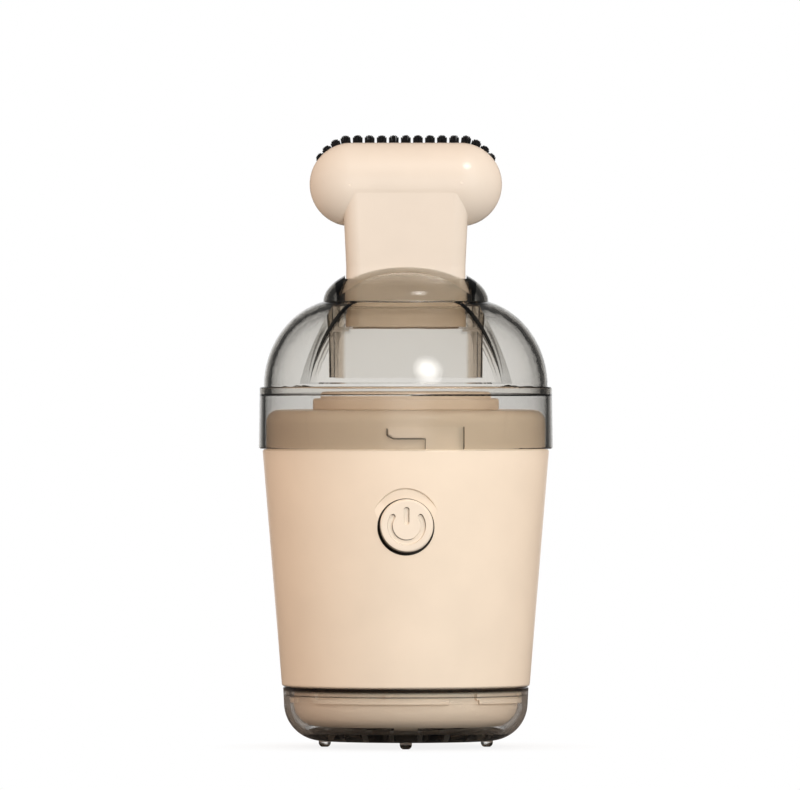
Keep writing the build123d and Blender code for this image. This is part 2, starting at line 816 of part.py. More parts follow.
def tuft_places():
    """Foot x, lean angle and tip radius of each tuft of a row, seen from the front."""
    first = -(tuft_flat_count - 1) / 2 * tuft_flat_pitch
    places = [(first + i * tuft_flat_pitch, 0.0, tuft_tip_r) for i in range(tuft_flat_count)]
    for i in range(tuft_end_count):
        angle = tuft_first_angle + i * tuft_angle_pitch
        tip_r = tuft_tip_r - tuft_tip_drop * i / (tuft_end_count - 1)
        places.append((head_half_x, angle, tip_r))
        places.append((-head_half_x, -angle, tip_r))
    return places


def bristle_row():
    """One row of tufts, nine strands each, fused to its backing strip, about y = 0."""
    strip = row_band(strip_base_r + push_fit, strip_top_r, strip_half_y, strip_end_angle)
    strands = []
    for centre_x, angle, tip_r in tuft_places():
        root_r = strip_top_r - strand_root
        for i in (-1, 0, 1):
            for j in (-1, 0, 1):
                stick = Pos(i * strand_pitch, j * strand_pitch, (root_r + tip_r) / 2) * Box(
                    strand, strand, tip_r - root_r)
                strands.append(Pos(centre_x, 0, head_z) * Rot(0, angle, 0) * stick)
    return strip.fuse(*strands)


def filter_body():
    """Flange and basket that carry the pleats."""
    outer_r = well_r - slide_fit
    inner_r = outer_r - basket_wall
    top_z = neck_top_z + flange_height
    bottom_z = neck_top_z - basket_height
    lip_r = inner_r - basket_lip
    outline = [(outer_r, bottom_z), (outer_r, neck_top_z), (flange_r, neck_top_z), (flange_r, top_z),
               (inner_r, top_z), (inner_r, bottom_z + basket_wall), (lip_r, bottom_z + basket_wall),
               (lip_r, bottom_z)]
    return lathe(outline, [((flange_r, neck_top_z), flange_round / 2), ((flange_r, top_z), flange_round)])


def filter_lid():
    """Slotted lid of the filter with a short spigot."""
    bottom_z = neck_top_z + flange_height
    top_z = bottom_z + lid_height
    spigot_outer = well_r - slide_fit - basket_wall - push_fit
    spigot_inner = spigot_outer - basket_wall
    outline = [(0, bottom_z), (spigot_inner, bottom_z), (spigot_inner, bottom_z - lid_spigot),
               (spigot_outer, bottom_z - lid_spigot), (spigot_outer, bottom_z), (lid_r, bottom_z),
               (lid_r, top_z), (0, top_z)]
    lid = lathe(outline, [((lid_r, top_z), lid_round)])
    slot = Pos((lid_slot_inner_r + lid_slot_outer_r) / 2, 0, bottom_z - past) * extrude(
        SlotOverall(lid_slot_outer_r - lid_slot_inner_r, lid_slot_width), lid_height + 2 * past)
    for one in around(slot, lid_slot_count):
        lid = lid - one
    return lid


def pleats():
    """Zigzag filter paper, cut round to fit the basket."""
    radius = well_r - slide_fit - basket_wall - push_fit
    low_z = neck_top_z - basket_height + basket_wall
    count = int(2 * radius / pleat_pitch) + 2
    left = -count * pleat_pitch / 2
    steps = range(2 * count + 1)
    edge = [(left + i * pleat_pitch / 2, low_z + pleat_height * (i % 2)) for i in steps]
    back = [(x, z + pleat_thick) for x, z in reversed(edge)]
    sheet = front_view(make_face(Polyline(*edge, *back, close=True)), -radius - past, radius + past)
    return sheet & post(radius, 0, 0, low_z - past, low_z + pleat_height + pleat_thick + past)


def inlet_plate():
    """Flat cover of the fan with a round inlet."""
    plate = ring(fan_r, fan_inlet_r, fan_top_z, well_under_z)
    edge = plate.edges().filter_by(GeomType.CIRCLE).group_by(SortBy.RADIUS)[0].sort_by(Axis.Z)[-1]
    return fillet(edge, fan_cover_t / 2)


def scroll():
    """Fan housing: floor, wall with outlet slots, ears for the screws and the motor's socket."""
    socket_r = motor_r + sleeve_t
    floor_top = fan_floor_z + fan_floor_t
    outline = [(motor_boss_r + push_fit, fan_floor_z), (socket_r, fan_floor_z),
               (socket_r, fan_floor_z - motor_socket_depth),
               (socket_r + motor_socket_wall, fan_floor_z - motor_socket_depth),
               (socket_r + motor_socket_wall, fan_floor_z), (fan_r, fan_floor_z), (fan_r, fan_top_z),
               (fan_r - fan_wall, fan_top_z), (fan_r - fan_wall, floor_top),
               (motor_boss_r + push_fit, floor_top)]
    shape = lathe(outline)
    outlet_low = impeller_z + impeller_plate
    outlet = block((fan_r - 3 * fan_wall, -fan_outlet_width / 2, outlet_low),
                   (fan_r + fan_wall, fan_outlet_width / 2, outlet_low + fan_outlet_height))
    for one in around(outlet, fan_outlet_count, fan_outlet_start):
        shape = shape - one
    drain = post(fan_drain_hole_r, fan_drain_r, 0, fan_floor_z - past, floor_top + past)
    for one in around(drain, fan_outlet_count):
        shape = shape - one
    ear = (post(cover_post_r, cover_post_circle_r, 0, cover_post_z - ear_height, cover_post_z)
           + block((fan_r - fan_wall, -cover_post_r, cover_post_z - ear_height),
                   (cover_post_circle_r, cover_post_r, cover_post_z)))
    drill = post(fan_screw_r + screw_fit, cover_post_circle_r, 0, fan_floor_z, fan_top_z)
    for one in around(ear, cover_post_count, 90):
        shape = shape + one
    for one in around(drill, cover_post_count, 90):
        shape = shape - one
    for x in (-motor_screw_x, motor_screw_x):
        shape = shape - post(motor_screw_r + screw_fit, x, 0, fan_floor_z - past, floor_top + past)
    return shape


def blade():
    """One backward-curved blade of the impeller."""
    outer_r = impeller_r - blade_inset
    inner_r = hub_r + blade_start
    end = radians(-blade_sweep)
    middle_r = (outer_r + inner_r) / 2
    middle = radians(-blade_sweep * blade_bow)
    camber = ThreePointArc((inner_r, 0), (middle_r * cos(middle), middle_r * sin(middle)),
                           (outer_r * cos(end), outer_r * sin(end)))
    foot_z = impeller_z + impeller_plate - bite
    return Pos(0, 0, foot_z) * extrude(trace(camber, blade_t), blade_height + bite)


def wheel():
    """Centrifugal wheel: back plate, hub and swept blades."""
    hub_top = impeller_z + hub_height
    plate_top = impeller_z + impeller_plate
    bore_r = shaft_r + press_gap
    outline = [(bore_r, impeller_z), (impeller_r, impeller_z), (impeller_r, plate_top), (hub_r, plate_top),
               (hub_r - hub_taper, hub_top), (bore_r, hub_top)]
    shape = lathe(outline)
    for one in around(blade(), blade_count):
        shape = shape + one
    return shape


def motor_case():
    """Motor can with its front boss, shaft bore and bearing seat."""
    boss_top = motor_top_z + motor_boss_h
    seat_z = boss_top - bearing_t
    seat_r = bearing_r + press_gap
    bore_r = shaft_r + shaft_bore_gap
    outline = [(bore_r, motor_bottom_z), (motor_r, motor_bottom_z), (motor_r, motor_top_z),
               (motor_boss_r, motor_top_z), (motor_boss_r, boss_top), (seat_r, boss_top), (seat_r, seat_z),
               (bore_r, seat_z)]
    can = lathe(outline, [((motor_r, motor_top_z), motor_edge_round)])
    for x in (-motor_screw_x, motor_screw_x):
        can = can - post(motor_screw_r + press_gap, x, 0, motor_top_z - motor_screw_depth,
                         motor_top_z + past)
    return can


def motor_end():
    """Plastic end cap of the motor, with its bearing seat and two terminal tabs."""
    low = motor_bottom_z - motor_cap_t
    seat_r = bearing_r + press_gap
    end = lathe([(seat_r, low), (motor_cap_r, low), (motor_cap_r, motor_bottom_z),
                 (seat_r, motor_bottom_z)], [((motor_cap_r, low), motor_edge_round)])
    for x in (-tab_x, tab_x):
        end = end + block((x - tab_half_x, -tab_t / 2, low - tab_length),
                          (x + tab_half_x, tab_t / 2, low + past))
    return end


def bearing(bottom_z):
    """Sintered bush that carries the shaft."""
    return ring(bearing_r, shaft_r + bearing_fit, bottom_z, bottom_z + bearing_t)


def screw(radius, length, head_r, head_h):
    """Screw with its head's seat at z = 0, its shank up +Z and its hexagon-socket head below."""
    head = Pos(0, 0, -head_h / 2) * Cylinder(head_r, head_h)
    head = fillet(head.edges().filter_by(GeomType.CIRCLE).sort_by(Axis.Z)[0], 0.45 * head_h)
    socket = Pos(0, 0, -head_h) * extrude(RegularPolygon(0.45 * head_r, 6), head_h / 2)
    return head - socket + Pos(0, 0, length / 2) * Cylinder(radius, length)


def cell():
    """Rechargeable cell with its raised pole."""
    top = cell_bottom_z + cell_height
    return (lathe([(0, cell_bottom_z), (cell_r, cell_bottom_z), (cell_r, top), (0, top)],
                  [((cell_r, top), cell_edge_round)])
            + post(cell_nub_r, 0, 0, top - bite, top + cell_nub_h))


def cell_holder():
    """Plate with two cups that carries the cells, seated on the drum's ledge."""
    plate_r = spigot_inner_r - 4 * push_fit
    plate = ring(plate_r, holder_hole_r, ledge_z, cell_bottom_z)
    cup_r = cell_r + push_fit
    for x in (-cell_x, cell_x):
        cup = Pos(x, 0, 0) * ring(cup_r + holder_cup_wall, cup_r, cell_bottom_z - bite,
                                  cell_bottom_z + holder_cup_height)
        plate = plate + (cup & ring(plate_r, holder_hole_r, ledge_z, cell_bottom_z + holder_cup_height))
    for one in around(post(post_r + slide_fit, post_circle_r, 0, 0, body_top_z), post_count, 45):
        plate = plate - one
    return plate


def board():
    """Control board with its screw holes and the larger components."""
    shape = block((-board_half_x, board_front_y, board_bottom_z),
                  (board_half_x, board_front_y + board_t, board_top_z))
    for x in (-board_screw_x, board_screw_x):
        for z in (board_screw_low_z, board_screw_high_z):
            shape = shape - rod_y(board_screw_r + screw_fit, x, z, board_front_y - past,
                                  board_front_y + board_t + past)
    back = board_front_y + board_t
    chip = block((-chip_half, back - bite, chip_z - chip_half),
                 (chip_half, back + chip_t, chip_z + chip_half))
    coil = block((coil_x - coil_half, back - bite, coil_z - coil_half),
                 (coil_x + coil_half, back + coil_t, coil_z + coil_half))
    return shape + chip + coil


def switch_case():
    """Square tact switch on the front of the board, with the plunger's bore."""
    front = board_front_y - switch_depth
    case = block((-switch_half, front, button_z - switch_half),
                 (switch_half, board_front_y, button_z + switch_half))
    return case - rod_y(plunger_r + plunger_fit, 0, button_z, front - past,
                        front + plunger_inside + button_travel + slide_fit)


def plunger():
    """Plunger of the switch, between the button's stem and the case."""
    front = board_front_y - switch_depth
    return rod_y(plunger_r, 0, button_z, stem_end_y, front + plunger_inside)


def button():
    """Round button cap with a flange behind the wall and a stem to the switch."""
    back_y = button_flange_y + button_flange_t
    face = rod_y(button_r, 0, button_z, button_face_y, back_y)
    edge = face.edges().filter_by(GeomType.CIRCLE).sort_by(Axis.Y)[0]
    face = fillet(edge, button_edge_round)
    return (face + rod_y(button_flange_r, 0, button_z, button_flange_y, back_y)
            + rod_y(button_stem_r, 0, button_z, back_y - bite, stem_end_y))


def charging_socket():
    """Charging receptacle that opens downwards, with its tongue."""
    top = port_bottom_z + port_length
    shell = tube_shape(port_half_x, port_half_y, port_corner_r, port_bottom_z, top)
    cavity = tube_shape(port_half_x - port_shell, port_half_y - port_shell, port_corner_r - port_shell,
                        port_bottom_z - past, port_bottom_z + port_cavity)
    tongue = block((-tongue_half_x, -tongue_t / 2, port_bottom_z + tongue_back),
                   (tongue_half_x, tongue_t / 2, top - bite))
    return shell - cavity + tongue


def socket_board():
    """Small board behind the charging receptacle."""
    return block((-port_board_half_x, port_half_y, drum_floor_z),
                 (port_board_half_x, port_half_y + port_board_t, port_board_top_z))


def foam_ring():
    """Exhaust foam on the drum's floor, cut out round the posts."""
    foam = ring(drum_inner_r - foam_gap, foam_inner_r, drum_floor_z, drum_floor_z + foam_height)
    for one in around(post(post_r + push_fit, post_circle_r, 0, 0, body_top_z), post_count, 45):
        foam = foam - one
    return foam


def base_screw_set():
    """Screws that pull the drum's posts to the body's bosses."""
    length = post_top_z - screw_seat_z + base_screw_depth
    one = screw(base_screw_r, length, base_screw_head_r, base_screw_head_h)
    return around(Pos(post_circle_r, 0, screw_seat_z) * one, post_count, 45)


def fan_screw_set():
    """Screws that hang the fan housing from the top cover's posts."""
    one = screw(fan_screw_r, ear_height + fan_screw_depth, fan_screw_head_r, fan_screw_head_h)
    return around(Pos(cover_post_circle_r, 0, cover_post_z - ear_height) * one, cover_post_count, 90)


def motor_screw_set():
    """Screws from the fan's floor into the motor's face."""
    length = fan_floor_t + motor_screw_depth - screw_hole_end
    one = screw(motor_screw_r, length, motor_screw_head_r, motor_screw_head_h)
    down = Rot(180, 0, 0) * one
    return [Pos(x, 0, fan_floor_z + fan_floor_t) * down for x in (-motor_screw_x, motor_screw_x)]


def board_screw_set():
    """Screws that hold the board to the body's bosses."""
    length = board_t + board_screw_depth
    one = Rot(90, 0, 0) * screw(board_screw_r, length, board_screw_head_r, board_screw_head_h)
    back = board_front_y + board_t
    return [Pos(x, back, z) * one for x in (-board_screw_x, board_screw_x)
            for z in (board_screw_low_z, board_screw_high_z)]


row = bristle_row()

nodes = {
    "brush_nozzle": nozzle(),
    "front_bristles": Pos(0, -row_y, 0) * row,
    "rear_bristles": Pos(0, row_y, 0) * row,
    "dust_cup": clear_cup(),
    "inlet_duct": air_duct(),
    "filter_grille": filter_lid(),
    "filter_frame": filter_body(),
    "filter_medium": pleats(),
    "filter_gasket": ring(gasket_r + gasket_width / 2 - push_fit, gasket_r - gasket_width / 2 + push_fit,
                          neck_top_z - gasket_height, neck_top_z),
    "top_cover": neck_cover(),
    "body_shell": bucket_body(),
    "button_cap": button(),
    "switch_plunger": plunger(),
    "power_switch": switch_case(),
    "control_board": board(),
    "board_screws": board_screw_set(),
    "fan_cover": inlet_plate(),
    "fan_housing": scroll(),
    "fan_screws": fan_screw_set(),
    "impeller": wheel(),
    "motor_shaft": post(shaft_r, 0, 0, shaft_bottom_z, impeller_z + hub_height),
    "upper_bearing": bearing(upper_bearing_z),
    "lower_bearing": bearing(lower_bearing_z),
    "motor_can": motor_case(),
    "motor_end_cap": motor_end(),
    "motor_sleeve": ring(motor_r + sleeve_t - push_fit, motor_r + push_fit,
                         fan_floor_z - motor_socket_depth, fan_floor_z - motor_edge_round),
    "motor_screws": motor_screw_set(),
    "battery_left": Pos(-cell_x, 0, 0) * cell(),
    "battery_right": Pos(cell_x, 0, 0) * cell(),
    "battery_holder": cell_holder(),
    "base_housing": base_drum(),
    "base_screws": base_screw_set(),
    "exhaust_foam": foam_ring(),
    "charging_port": charging_socket(),
    "charging_board": socket_board(),
    "base_cap": base_cover(),
}

for name, shape in nodes.items():
    pieces = shape if isinstance(shape, list) else [shape]
    solids = [solid for piece in pieces for solid in piece.solids()]
    export_step(Compound(children=solids), f"parts/{name}.step")
    print(name, len(solids), "solid(s)", round(sum(solid.volume for solid in solids), 1), "mm3")
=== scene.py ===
# %% [markdown]
# # Desk vacuum: peach plastic, smoked clear plastic and black bristles
# This lesson dresses a small upright vacuum cleaner. Its construction comes in as a fixed frame:
# every moulded part already has its real shape and place. What is left for us is what the eye
# reads as real: the satin of the peach plastic, the tint of the smoked cup, the engraved power
# symbol, the tufts of the brush, and the light of a small product studio.

# %% Load the frame
import json

import bpy
import numpy as np
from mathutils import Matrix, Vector


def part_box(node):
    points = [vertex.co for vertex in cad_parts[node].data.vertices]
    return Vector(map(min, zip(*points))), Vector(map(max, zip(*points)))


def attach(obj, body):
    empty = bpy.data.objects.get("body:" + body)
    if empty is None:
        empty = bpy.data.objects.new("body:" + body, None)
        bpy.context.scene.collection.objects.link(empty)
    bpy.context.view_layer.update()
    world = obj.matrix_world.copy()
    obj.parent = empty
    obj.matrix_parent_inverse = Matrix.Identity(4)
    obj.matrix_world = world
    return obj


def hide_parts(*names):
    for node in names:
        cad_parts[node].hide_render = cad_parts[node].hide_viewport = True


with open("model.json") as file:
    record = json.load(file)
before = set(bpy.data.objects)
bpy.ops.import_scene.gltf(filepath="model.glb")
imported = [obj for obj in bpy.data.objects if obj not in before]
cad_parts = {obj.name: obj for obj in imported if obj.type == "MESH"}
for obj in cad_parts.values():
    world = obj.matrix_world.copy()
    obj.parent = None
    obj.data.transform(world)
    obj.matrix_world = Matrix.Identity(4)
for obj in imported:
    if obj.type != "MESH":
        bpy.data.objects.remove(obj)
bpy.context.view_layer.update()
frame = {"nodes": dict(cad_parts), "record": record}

# %% [markdown]
# ## Small helpers
# A piece is a surface worked out as an array of points. A function of two parameters gives the
# points of a grid, and the grid's quads join neighbours. The helper below makes the mesh, lets it
# ride on its body and names the finish it takes, so each later step only has to find its shape.

# %% Lengths and mesh helper
MM = 0.001


def grid_faces(rows, columns, closed):
    """Quads of a grid of rows x columns points.
    Point (i, j) has number i * columns + j. A quad joins (i, j), (i, j+1), (i+1, j+1), (i+1, j).
    With closed, the last column is joined to the first."""
    i = np.arange(rows - 1)[:, None]
    j = np.arange(columns if closed else columns - 1)[None, :]
    k = (j + 1) % columns
    here, above = i * columns, (i + 1) * columns
    return np.stack([here + j, here + k, above + k, above + j], axis=-1).reshape(-1, 4)


def make_mesh(name, points, quads, triangles=None, smooth=True):
    """Mesh from an array of points and arrays of quads and triangles, filled in whole arrays."""
    triangles = np.zeros((0, 3), int) if triangles is None else triangles
    mesh = bpy.data.meshes.new(name)
    corners = np.concatenate([quads.ravel(), triangles.ravel()]).astype(np.int32)
    sizes = np.concatenate([np.full(len(quads), 4), np.full(len(triangles), 3)]).astype(np.int32)
    starts = np.concatenate([[0], np.cumsum(sizes)[:-1]]).astype(np.int32)
    mesh.vertices.add(len(points))
    mesh.vertices.foreach_set("co", np.asarray(points, np.float32).ravel())
    mesh.loops.add(len(corners))
    mesh.loops.foreach_set("vertex_index", corners)
    mesh.polygons.add(len(sizes))
    mesh.polygons.foreach_set("loop_start", starts)
    mesh.polygons.foreach_set("use_smooth", np.full(len(sizes), smooth))
    mesh.update(calc_edges=True)
    mesh.validate()
    return mesh


def add_piece(name, mesh, body, material, stands_for=()):
    """Object for a mesh that lies in the frame's own place, riding on a body."""
    piece = bpy.data.objects.new(name, mesh)
    bpy.context.scene.collection.objects.link(piece)
    mesh.materials.append(material)
    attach(piece, body)
    if stands_for:
        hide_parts(*stands_for)
    print(name, len(mesh.vertices), "points", len(mesh.polygons), "faces")
    return piece


# %% [markdown]
# ## Shared surface effects
# Three effects return on nearly every part, so one node group holds them: the fine spark-eroded
# grain that a steel mould leaves on plastic, a slow drift of tone that no real moulding is free of,
# and the faint smudges of handling, which only change the roughness. A group gives out colours,
# values and heights alone, and every material keeps its own shader.

# %% Node helpers
def new_group(name, inputs, outputs):
    """Empty shader node group with named float inputs (name, default) and outputs (name, kind)."""
    group = bpy.data.node_groups.new(name, "ShaderNodeTree")
    for socket_name, default in inputs:
        socket = group.interface.new_socket(name=socket_name, in_out="INPUT",
                                            socket_type="NodeSocketFloat")
        socket.default_value = default
    for socket_name, kind in outputs:
        group.interface.new_socket(name=socket_name, in_out="OUTPUT", socket_type=kind)
    return group, group.nodes.new("NodeGroupInput"), group.nodes.new("NodeGroupOutput")


def noise(nodes, links, coordinates, scale, detail):
    """Noise texture on given coordinates, in a grid of scale cells per metre."""
    texture = nodes.new("ShaderNodeTexNoise")
    texture.inputs["Scale"].default_value = scale
    texture.inputs["Detail"].default_value = detail
    links.new(coordinates, texture.inputs["Vector"])
    return texture.outputs["Fac"]


def remap(nodes, links, source, low, high, to_low, to_high):
    """Source moved from the span low..high to the span to_low..to_high, clamped."""
    node = nodes.new("ShaderNodeMapRange")
    limits = {"From Min": low, "From Max": high, "To Min": to_low, "To Max": to_high}
    for socket, number in limits.items():
        node.inputs[socket].default_value = number
    links.new(source, node.inputs["Value"])
    return node.outputs["Result"]


def value(nodes, links, operation, first, second=0.0, clamp=False):
    """Result of a math node, held in 0..1 with clamp. Each operand may be a number or a socket."""
    node = nodes.new("ShaderNodeMath")
    node.operation = operation
    node.use_clamp = clamp
    for socket, operand in zip(node.inputs, (first, second)):
        if isinstance(operand, (int, float)):
            socket.default_value = operand
        else:
            links.new(operand, socket)
    return node.outputs[0]


def object_place(nodes):
    """Socket with the place of a point in the object's own frame, in metres."""
    return nodes.new("ShaderNodeTexCoord").outputs["Object"]


def split(nodes, links, vector):
    """Sockets X, Y and Z of a vector."""
    node = nodes.new("ShaderNodeSeparateXYZ")
    links.new(vector, node.inputs["Vector"])
    return node.outputs


def choose(nodes, links, share, first, second):
    """Colour mixed from first to second by a share. Each may be a colour or a socket."""
    node = nodes.new("ShaderNodeMix")
    node.data_type = "RGBA"
    links.new(share, node.inputs["Factor"])
    for socket, colour in (("A", first), ("B", second)):
        if isinstance(colour, tuple):
            node.inputs[socket].default_value = (*colour, 1.0)
        else:
            links.new(colour, node.inputs[socket])
    return node.outputs["Result"]


# %% Mould grain group
grain_cells = 4200.0
drift_cells = 55.0


def mould_grain():
    """Group with inputs Roughness and Spread and outputs Height, Tone and Roughness.
    Height is fine noise in cells of about 0.25 mm. Tone is slow noise, in cells of about 18 mm,
    brought to 0.965..1.02. Roughness = given roughness + (slow noise - 0.5) * Spread."""
    group, given, out = new_group(
        "mould_grain", [("Roughness", 0.3), ("Spread", 0.06)],
        [(output, "NodeSocketFloat") for output in ("Height", "Tone", "Roughness")])
    nodes, links = group.nodes, group.links
    place = object_place(nodes)
    fine = noise(nodes, links, place, grain_cells, 2.0)
    slow = noise(nodes, links, place, drift_cells, 3.0)
    links.new(fine, out.inputs["Height"])
    links.new(remap(nodes, links, slow, 0.3, 0.7, 0.965, 1.02), out.inputs["Tone"])
    centred = value(nodes, links, "SUBTRACT", slow, 0.5)
    spread = value(nodes, links, "MULTIPLY", centred, given.outputs["Spread"])
    roughness = value(nodes, links, "ADD", spread, given.outputs["Roughness"])
    links.new(roughness, out.inputs["Roughness"])
    return group


grain_group = mould_grain()
print("groups:", [group.name for group in bpy.data.node_groups])

# %% [markdown]
# ## The finishes
# Peach plastic is satin: a soft broad sheen over a warm body colour. The body's colour is written
# as it should look under plain light, and the grain group only drifts it by a few hundredths. The
# nozzle, the filter and the base drum are copies of it with painted light or shade, toned for the
# light each
# gets. Two painted shades help small deep places that the soft light of a render leaves too bright:
# one darkens a part towards its underside or the bottom of a gap, the other the walls that face
# away from the lamps, such as those of the engraved symbol.

# %% Plastic material
grain_strength = 0.35
polish_roughness = 0.07
away_from_lamps = (-0.6, 0.0, -0.8)


def plastic(name, colour, roughness, grain_depth, spread=0.06, metallic=0.0, specular=0.5,
            polish=0.0, painted_shade=None, painted_wall_shade=None):
    """Moulded plastic: body colour times the grain's tone, grain in roughness and bump.
    Polish is a thin glossy skin over the satin, which keeps a lamp's reflection small and sharp.
    Painted shade, given as (axis, far, near, share), darkens the colour to a share of itself from
    near to far along an axis. Painted wall shade is the share of the colour that is left on walls
    that face away from the lamps, where the dot product of the normal and away_from_lamps is over
    0.6; it is 1 where the product is under 0.3."""
    material = bpy.data.materials.new(name)
    material.use_nodes = True
    nodes, links = material.node_tree.nodes, material.node_tree.links
    shader = nodes["Principled BSDF"]
    grain = nodes.new("ShaderNodeGroup")
    grain.node_tree = grain_group
    grain.inputs["Roughness"].default_value = roughness
    grain.inputs["Spread"].default_value = spread
    tint = nodes.new("ShaderNodeMix")
    tint.data_type = "RGBA"
    tint.blend_type = "MULTIPLY"
    tint.inputs["Factor"].default_value = 1.0
    tint.inputs["A"].default_value = (*colour, 1.0)
    tone = grain.outputs["Tone"]
    # painted shade: the colour darkens along an axis, towards an underside or the bottom of a gap
    if painted_shade:
        axis, far, near, share = painted_shade
        at = split(nodes, links, object_place(nodes))[axis]
        left = remap(nodes, links, at, far, near, share, 1.0)
        tone = value(nodes, links, "MULTIPLY", tone, left)
    # painted shade: walls that face away from the lamps get a darker colour
    if painted_wall_shade:
        away = nodes.new("ShaderNodeVectorMath")
        away.operation = "DOT_PRODUCT"
        links.new(nodes.new("ShaderNodeTexCoord").outputs["Normal"], away.inputs[0])
        away.inputs[1].default_value = away_from_lamps
        left = remap(nodes, links, away.outputs["Value"], 0.3, 0.6, 1.0, painted_wall_shade)
        tone = value(nodes, links, "MULTIPLY", tone, left)
    grey = nodes.new("ShaderNodeCombineColor")
    for channel in grey.inputs:
        links.new(tone, channel)
    links.new(grey.outputs["Color"], tint.inputs["B"])
    links.new(tint.outputs["Result"], shader.inputs["Base Color"])
    links.new(grain.outputs["Roughness"], shader.inputs["Roughness"])
    bump = nodes.new("ShaderNodeBump")
    bump.inputs["Strength"].default_value = grain_strength
    bump.inputs["Distance"].default_value = grain_depth
    links.new(grain.outputs["Height"], bump.inputs["Height"])
    links.new(bump.outputs["Normal"], shader.inputs["Normal"])
    shader.inputs["Metallic"].default_value = metallic
    shader.inputs["Specular IOR Level"].default_value = specular
    shader.inputs["Coat Weight"].default_value = polish
    shader.inputs["Coat Roughness"].default_value = polish_roughness
    return material


# %% [markdown]
# ## Smoke-tinted clear plastic
# The smoked plastic is a real transparent solid. Its tint is absorption inside the wall, so a thick
# rim or a wall seen edge-on comes out darker by itself, as it does on the real cup. Some places
# still come out too light: the sides of the facets, the thick ends of the mouth, the collar, the
# edges of the bayonet slot, both sides of the duct and the rim and ledge of the base cap. Each
# clear part has a mask that paints shade there, in place of light that the real wall bends away or
# that never reaches it. The mask is worked out from the place of a point, which moves with the part
# when it turns.

# %% Masks for the smoked plastic
def line_mask(nodes, links, place, start, end, width, soft):
    """1 on a straight line in the front view and 0 beside it.
    A mapping brings the line's middle (x, z) to the origin and turns the line along X. The mask
    then falls from 1 to 0 as max(|x| - length / 2, |z| - width / 2) goes from 0 to soft."""
    run, rise = end[0] - start[0], end[1] - start[1]
    middle = ((start[0] + end[0]) / 2, 0.0, (start[1] + end[1]) / 2)
    mapping = nodes.new("ShaderNodeMapping")
    mapping.vector_type = "TEXTURE"
    mapping.inputs["Location"].default_value = middle
    mapping.inputs["Rotation"].default_value = (0.0, -np.arctan2(rise, run), 0.0)
    links.new(place, mapping.inputs["Vector"])
    local = split(nodes, links, mapping.outputs["Vector"])
    along = value(nodes, links, "SUBTRACT", value(nodes, links, "ABSOLUTE", local["X"]),
                  float(np.hypot(run, rise)) / 2)
    across = value(nodes, links, "SUBTRACT", value(nodes, links, "ABSOLUTE", local["Z"]), width / 2)
    return remap(nodes, links, value(nodes, links, "MAXIMUM", along, across), 0.0, soft, 1.0, 0.0)


def circle_through(points):
    """Centre and radius of the circle through three points, from |p|^2 = 2 c.p + (r^2 - |c|^2)."""
    points = np.asarray(points)
    system = np.column_stack([2 * points, np.ones(3)])
    x, z, rest = np.linalg.solve(system, (points ** 2).sum(axis=1))
    return x, z, float(np.sqrt(rest + x * x + z * z))


def shade_group(name):
    """Group with the output Shade, its nodes and links, the socket to fill, and a point's place."""
    group, _, out = new_group(name, [], [("Shade", "NodeSocketFloat")])
    return group, group.nodes, group.links, out.inputs["Shade"], object_place(group.nodes)


# %% Painted shade on the sides of the facets
# painted shade: dark side lines of the facets, in place of light the real crease bends away
crease_points = [(26.2 * MM, 97.4 * MM), (20.5 * MM, 112.7 * MM), (14.2 * MM, 120.6 * MM)]
crease_start_z, crease_full_z = 100.5 * MM, 116.0 * MM
crease_fade_z, crease_end_z = 120.3 * MM, 121.4 * MM
crease_width = 0.8 * MM
least_width = 0.01 * MM
crease_clear_y, crease_full_y = 18 * MM, 20 * MM
edge_on, face_on = 0.25, 0.5
crease_depth = 0.85


def crease_mask(nodes, links, x, y, z):
    """Painted shade on the curved side lines of the front and rear facet.
    A side lies on a circle in the front view. At a distance d from it the mask is
    (1 - d / width) / 0.7, held in 0..1, times the depth. The width grows with the height and ends
    at the top of the facet. Walls that turn their edge to the front stay clear."""
    centre_x, centre_z, radius = circle_through(crease_points)
    arm = nodes.new("ShaderNodeCombineXYZ")
    links.new(value(nodes, links, "SUBTRACT", x, float(centre_x)), arm.inputs["X"])
    links.new(value(nodes, links, "SUBTRACT", z, float(centre_z)), arm.inputs["Z"])
    reach = nodes.new("ShaderNodeVectorMath")
    reach.operation = "LENGTH"
    links.new(arm.outputs["Vector"], reach.inputs[0])
    past = value(nodes, links, "SUBTRACT", reach.outputs["Value"], radius)
    off = value(nodes, links, "ABSOLUTE", past)
    rising = remap(nodes, links, z, crease_start_z, crease_full_z, 0.0, crease_width)
    falling = remap(nodes, links, z, crease_fade_z, crease_end_z, 1.0, 0.0)
    share = value(nodes, links, "MULTIPLY", rising, falling)
    width = value(nodes, links, "MAXIMUM", share, least_width)
    crease = value(nodes, links, "SUBTRACT", 1.0, value(nodes, links, "DIVIDE", off, width))
    crease = remap(nodes, links, crease, 0.0, 0.7, 0.0, crease_depth)
    outside = remap(nodes, links, y, crease_clear_y, crease_full_y, 0.0, 1.0)
    crease = value(nodes, links, "MULTIPLY", crease, outside)
    normal = split(nodes, links, nodes.new("ShaderNodeTexCoord").outputs["Normal"])
    facing = value(nodes, links, "ABSOLUTE", normal["Y"])
    facing = remap(nodes, links, facing, edge_on, face_on, 0.0, 1.0)
    return value(nodes, links, "MULTIPLY", crease, facing)


# %% Where the cup gets painted shade
mouth_end_x, mouth_full_x = 15.5 * MM, 18.5 * MM
mouth_foot_z, mouth_full_z = 119.5 * MM, 121.0 * MM
mouth_depth = 0.42
collar_top_z, collar_fade = 95.2 * MM, 0.6 * MM
collar_depth = 0.11
slot_corners = [(-5.05, 86.6), (-5.05, 84.8), (-3.35, 83.9), (5.2, 83.9), (5.2, 81.2)]
slot_far_edge = [(15.5, 87.1), (15.5, 81.2)]
slot_line, slot_soft = 0.08 * MM, 0.10 * MM
slot_back_y, slot_front_y = -34 * MM, -35 * MM


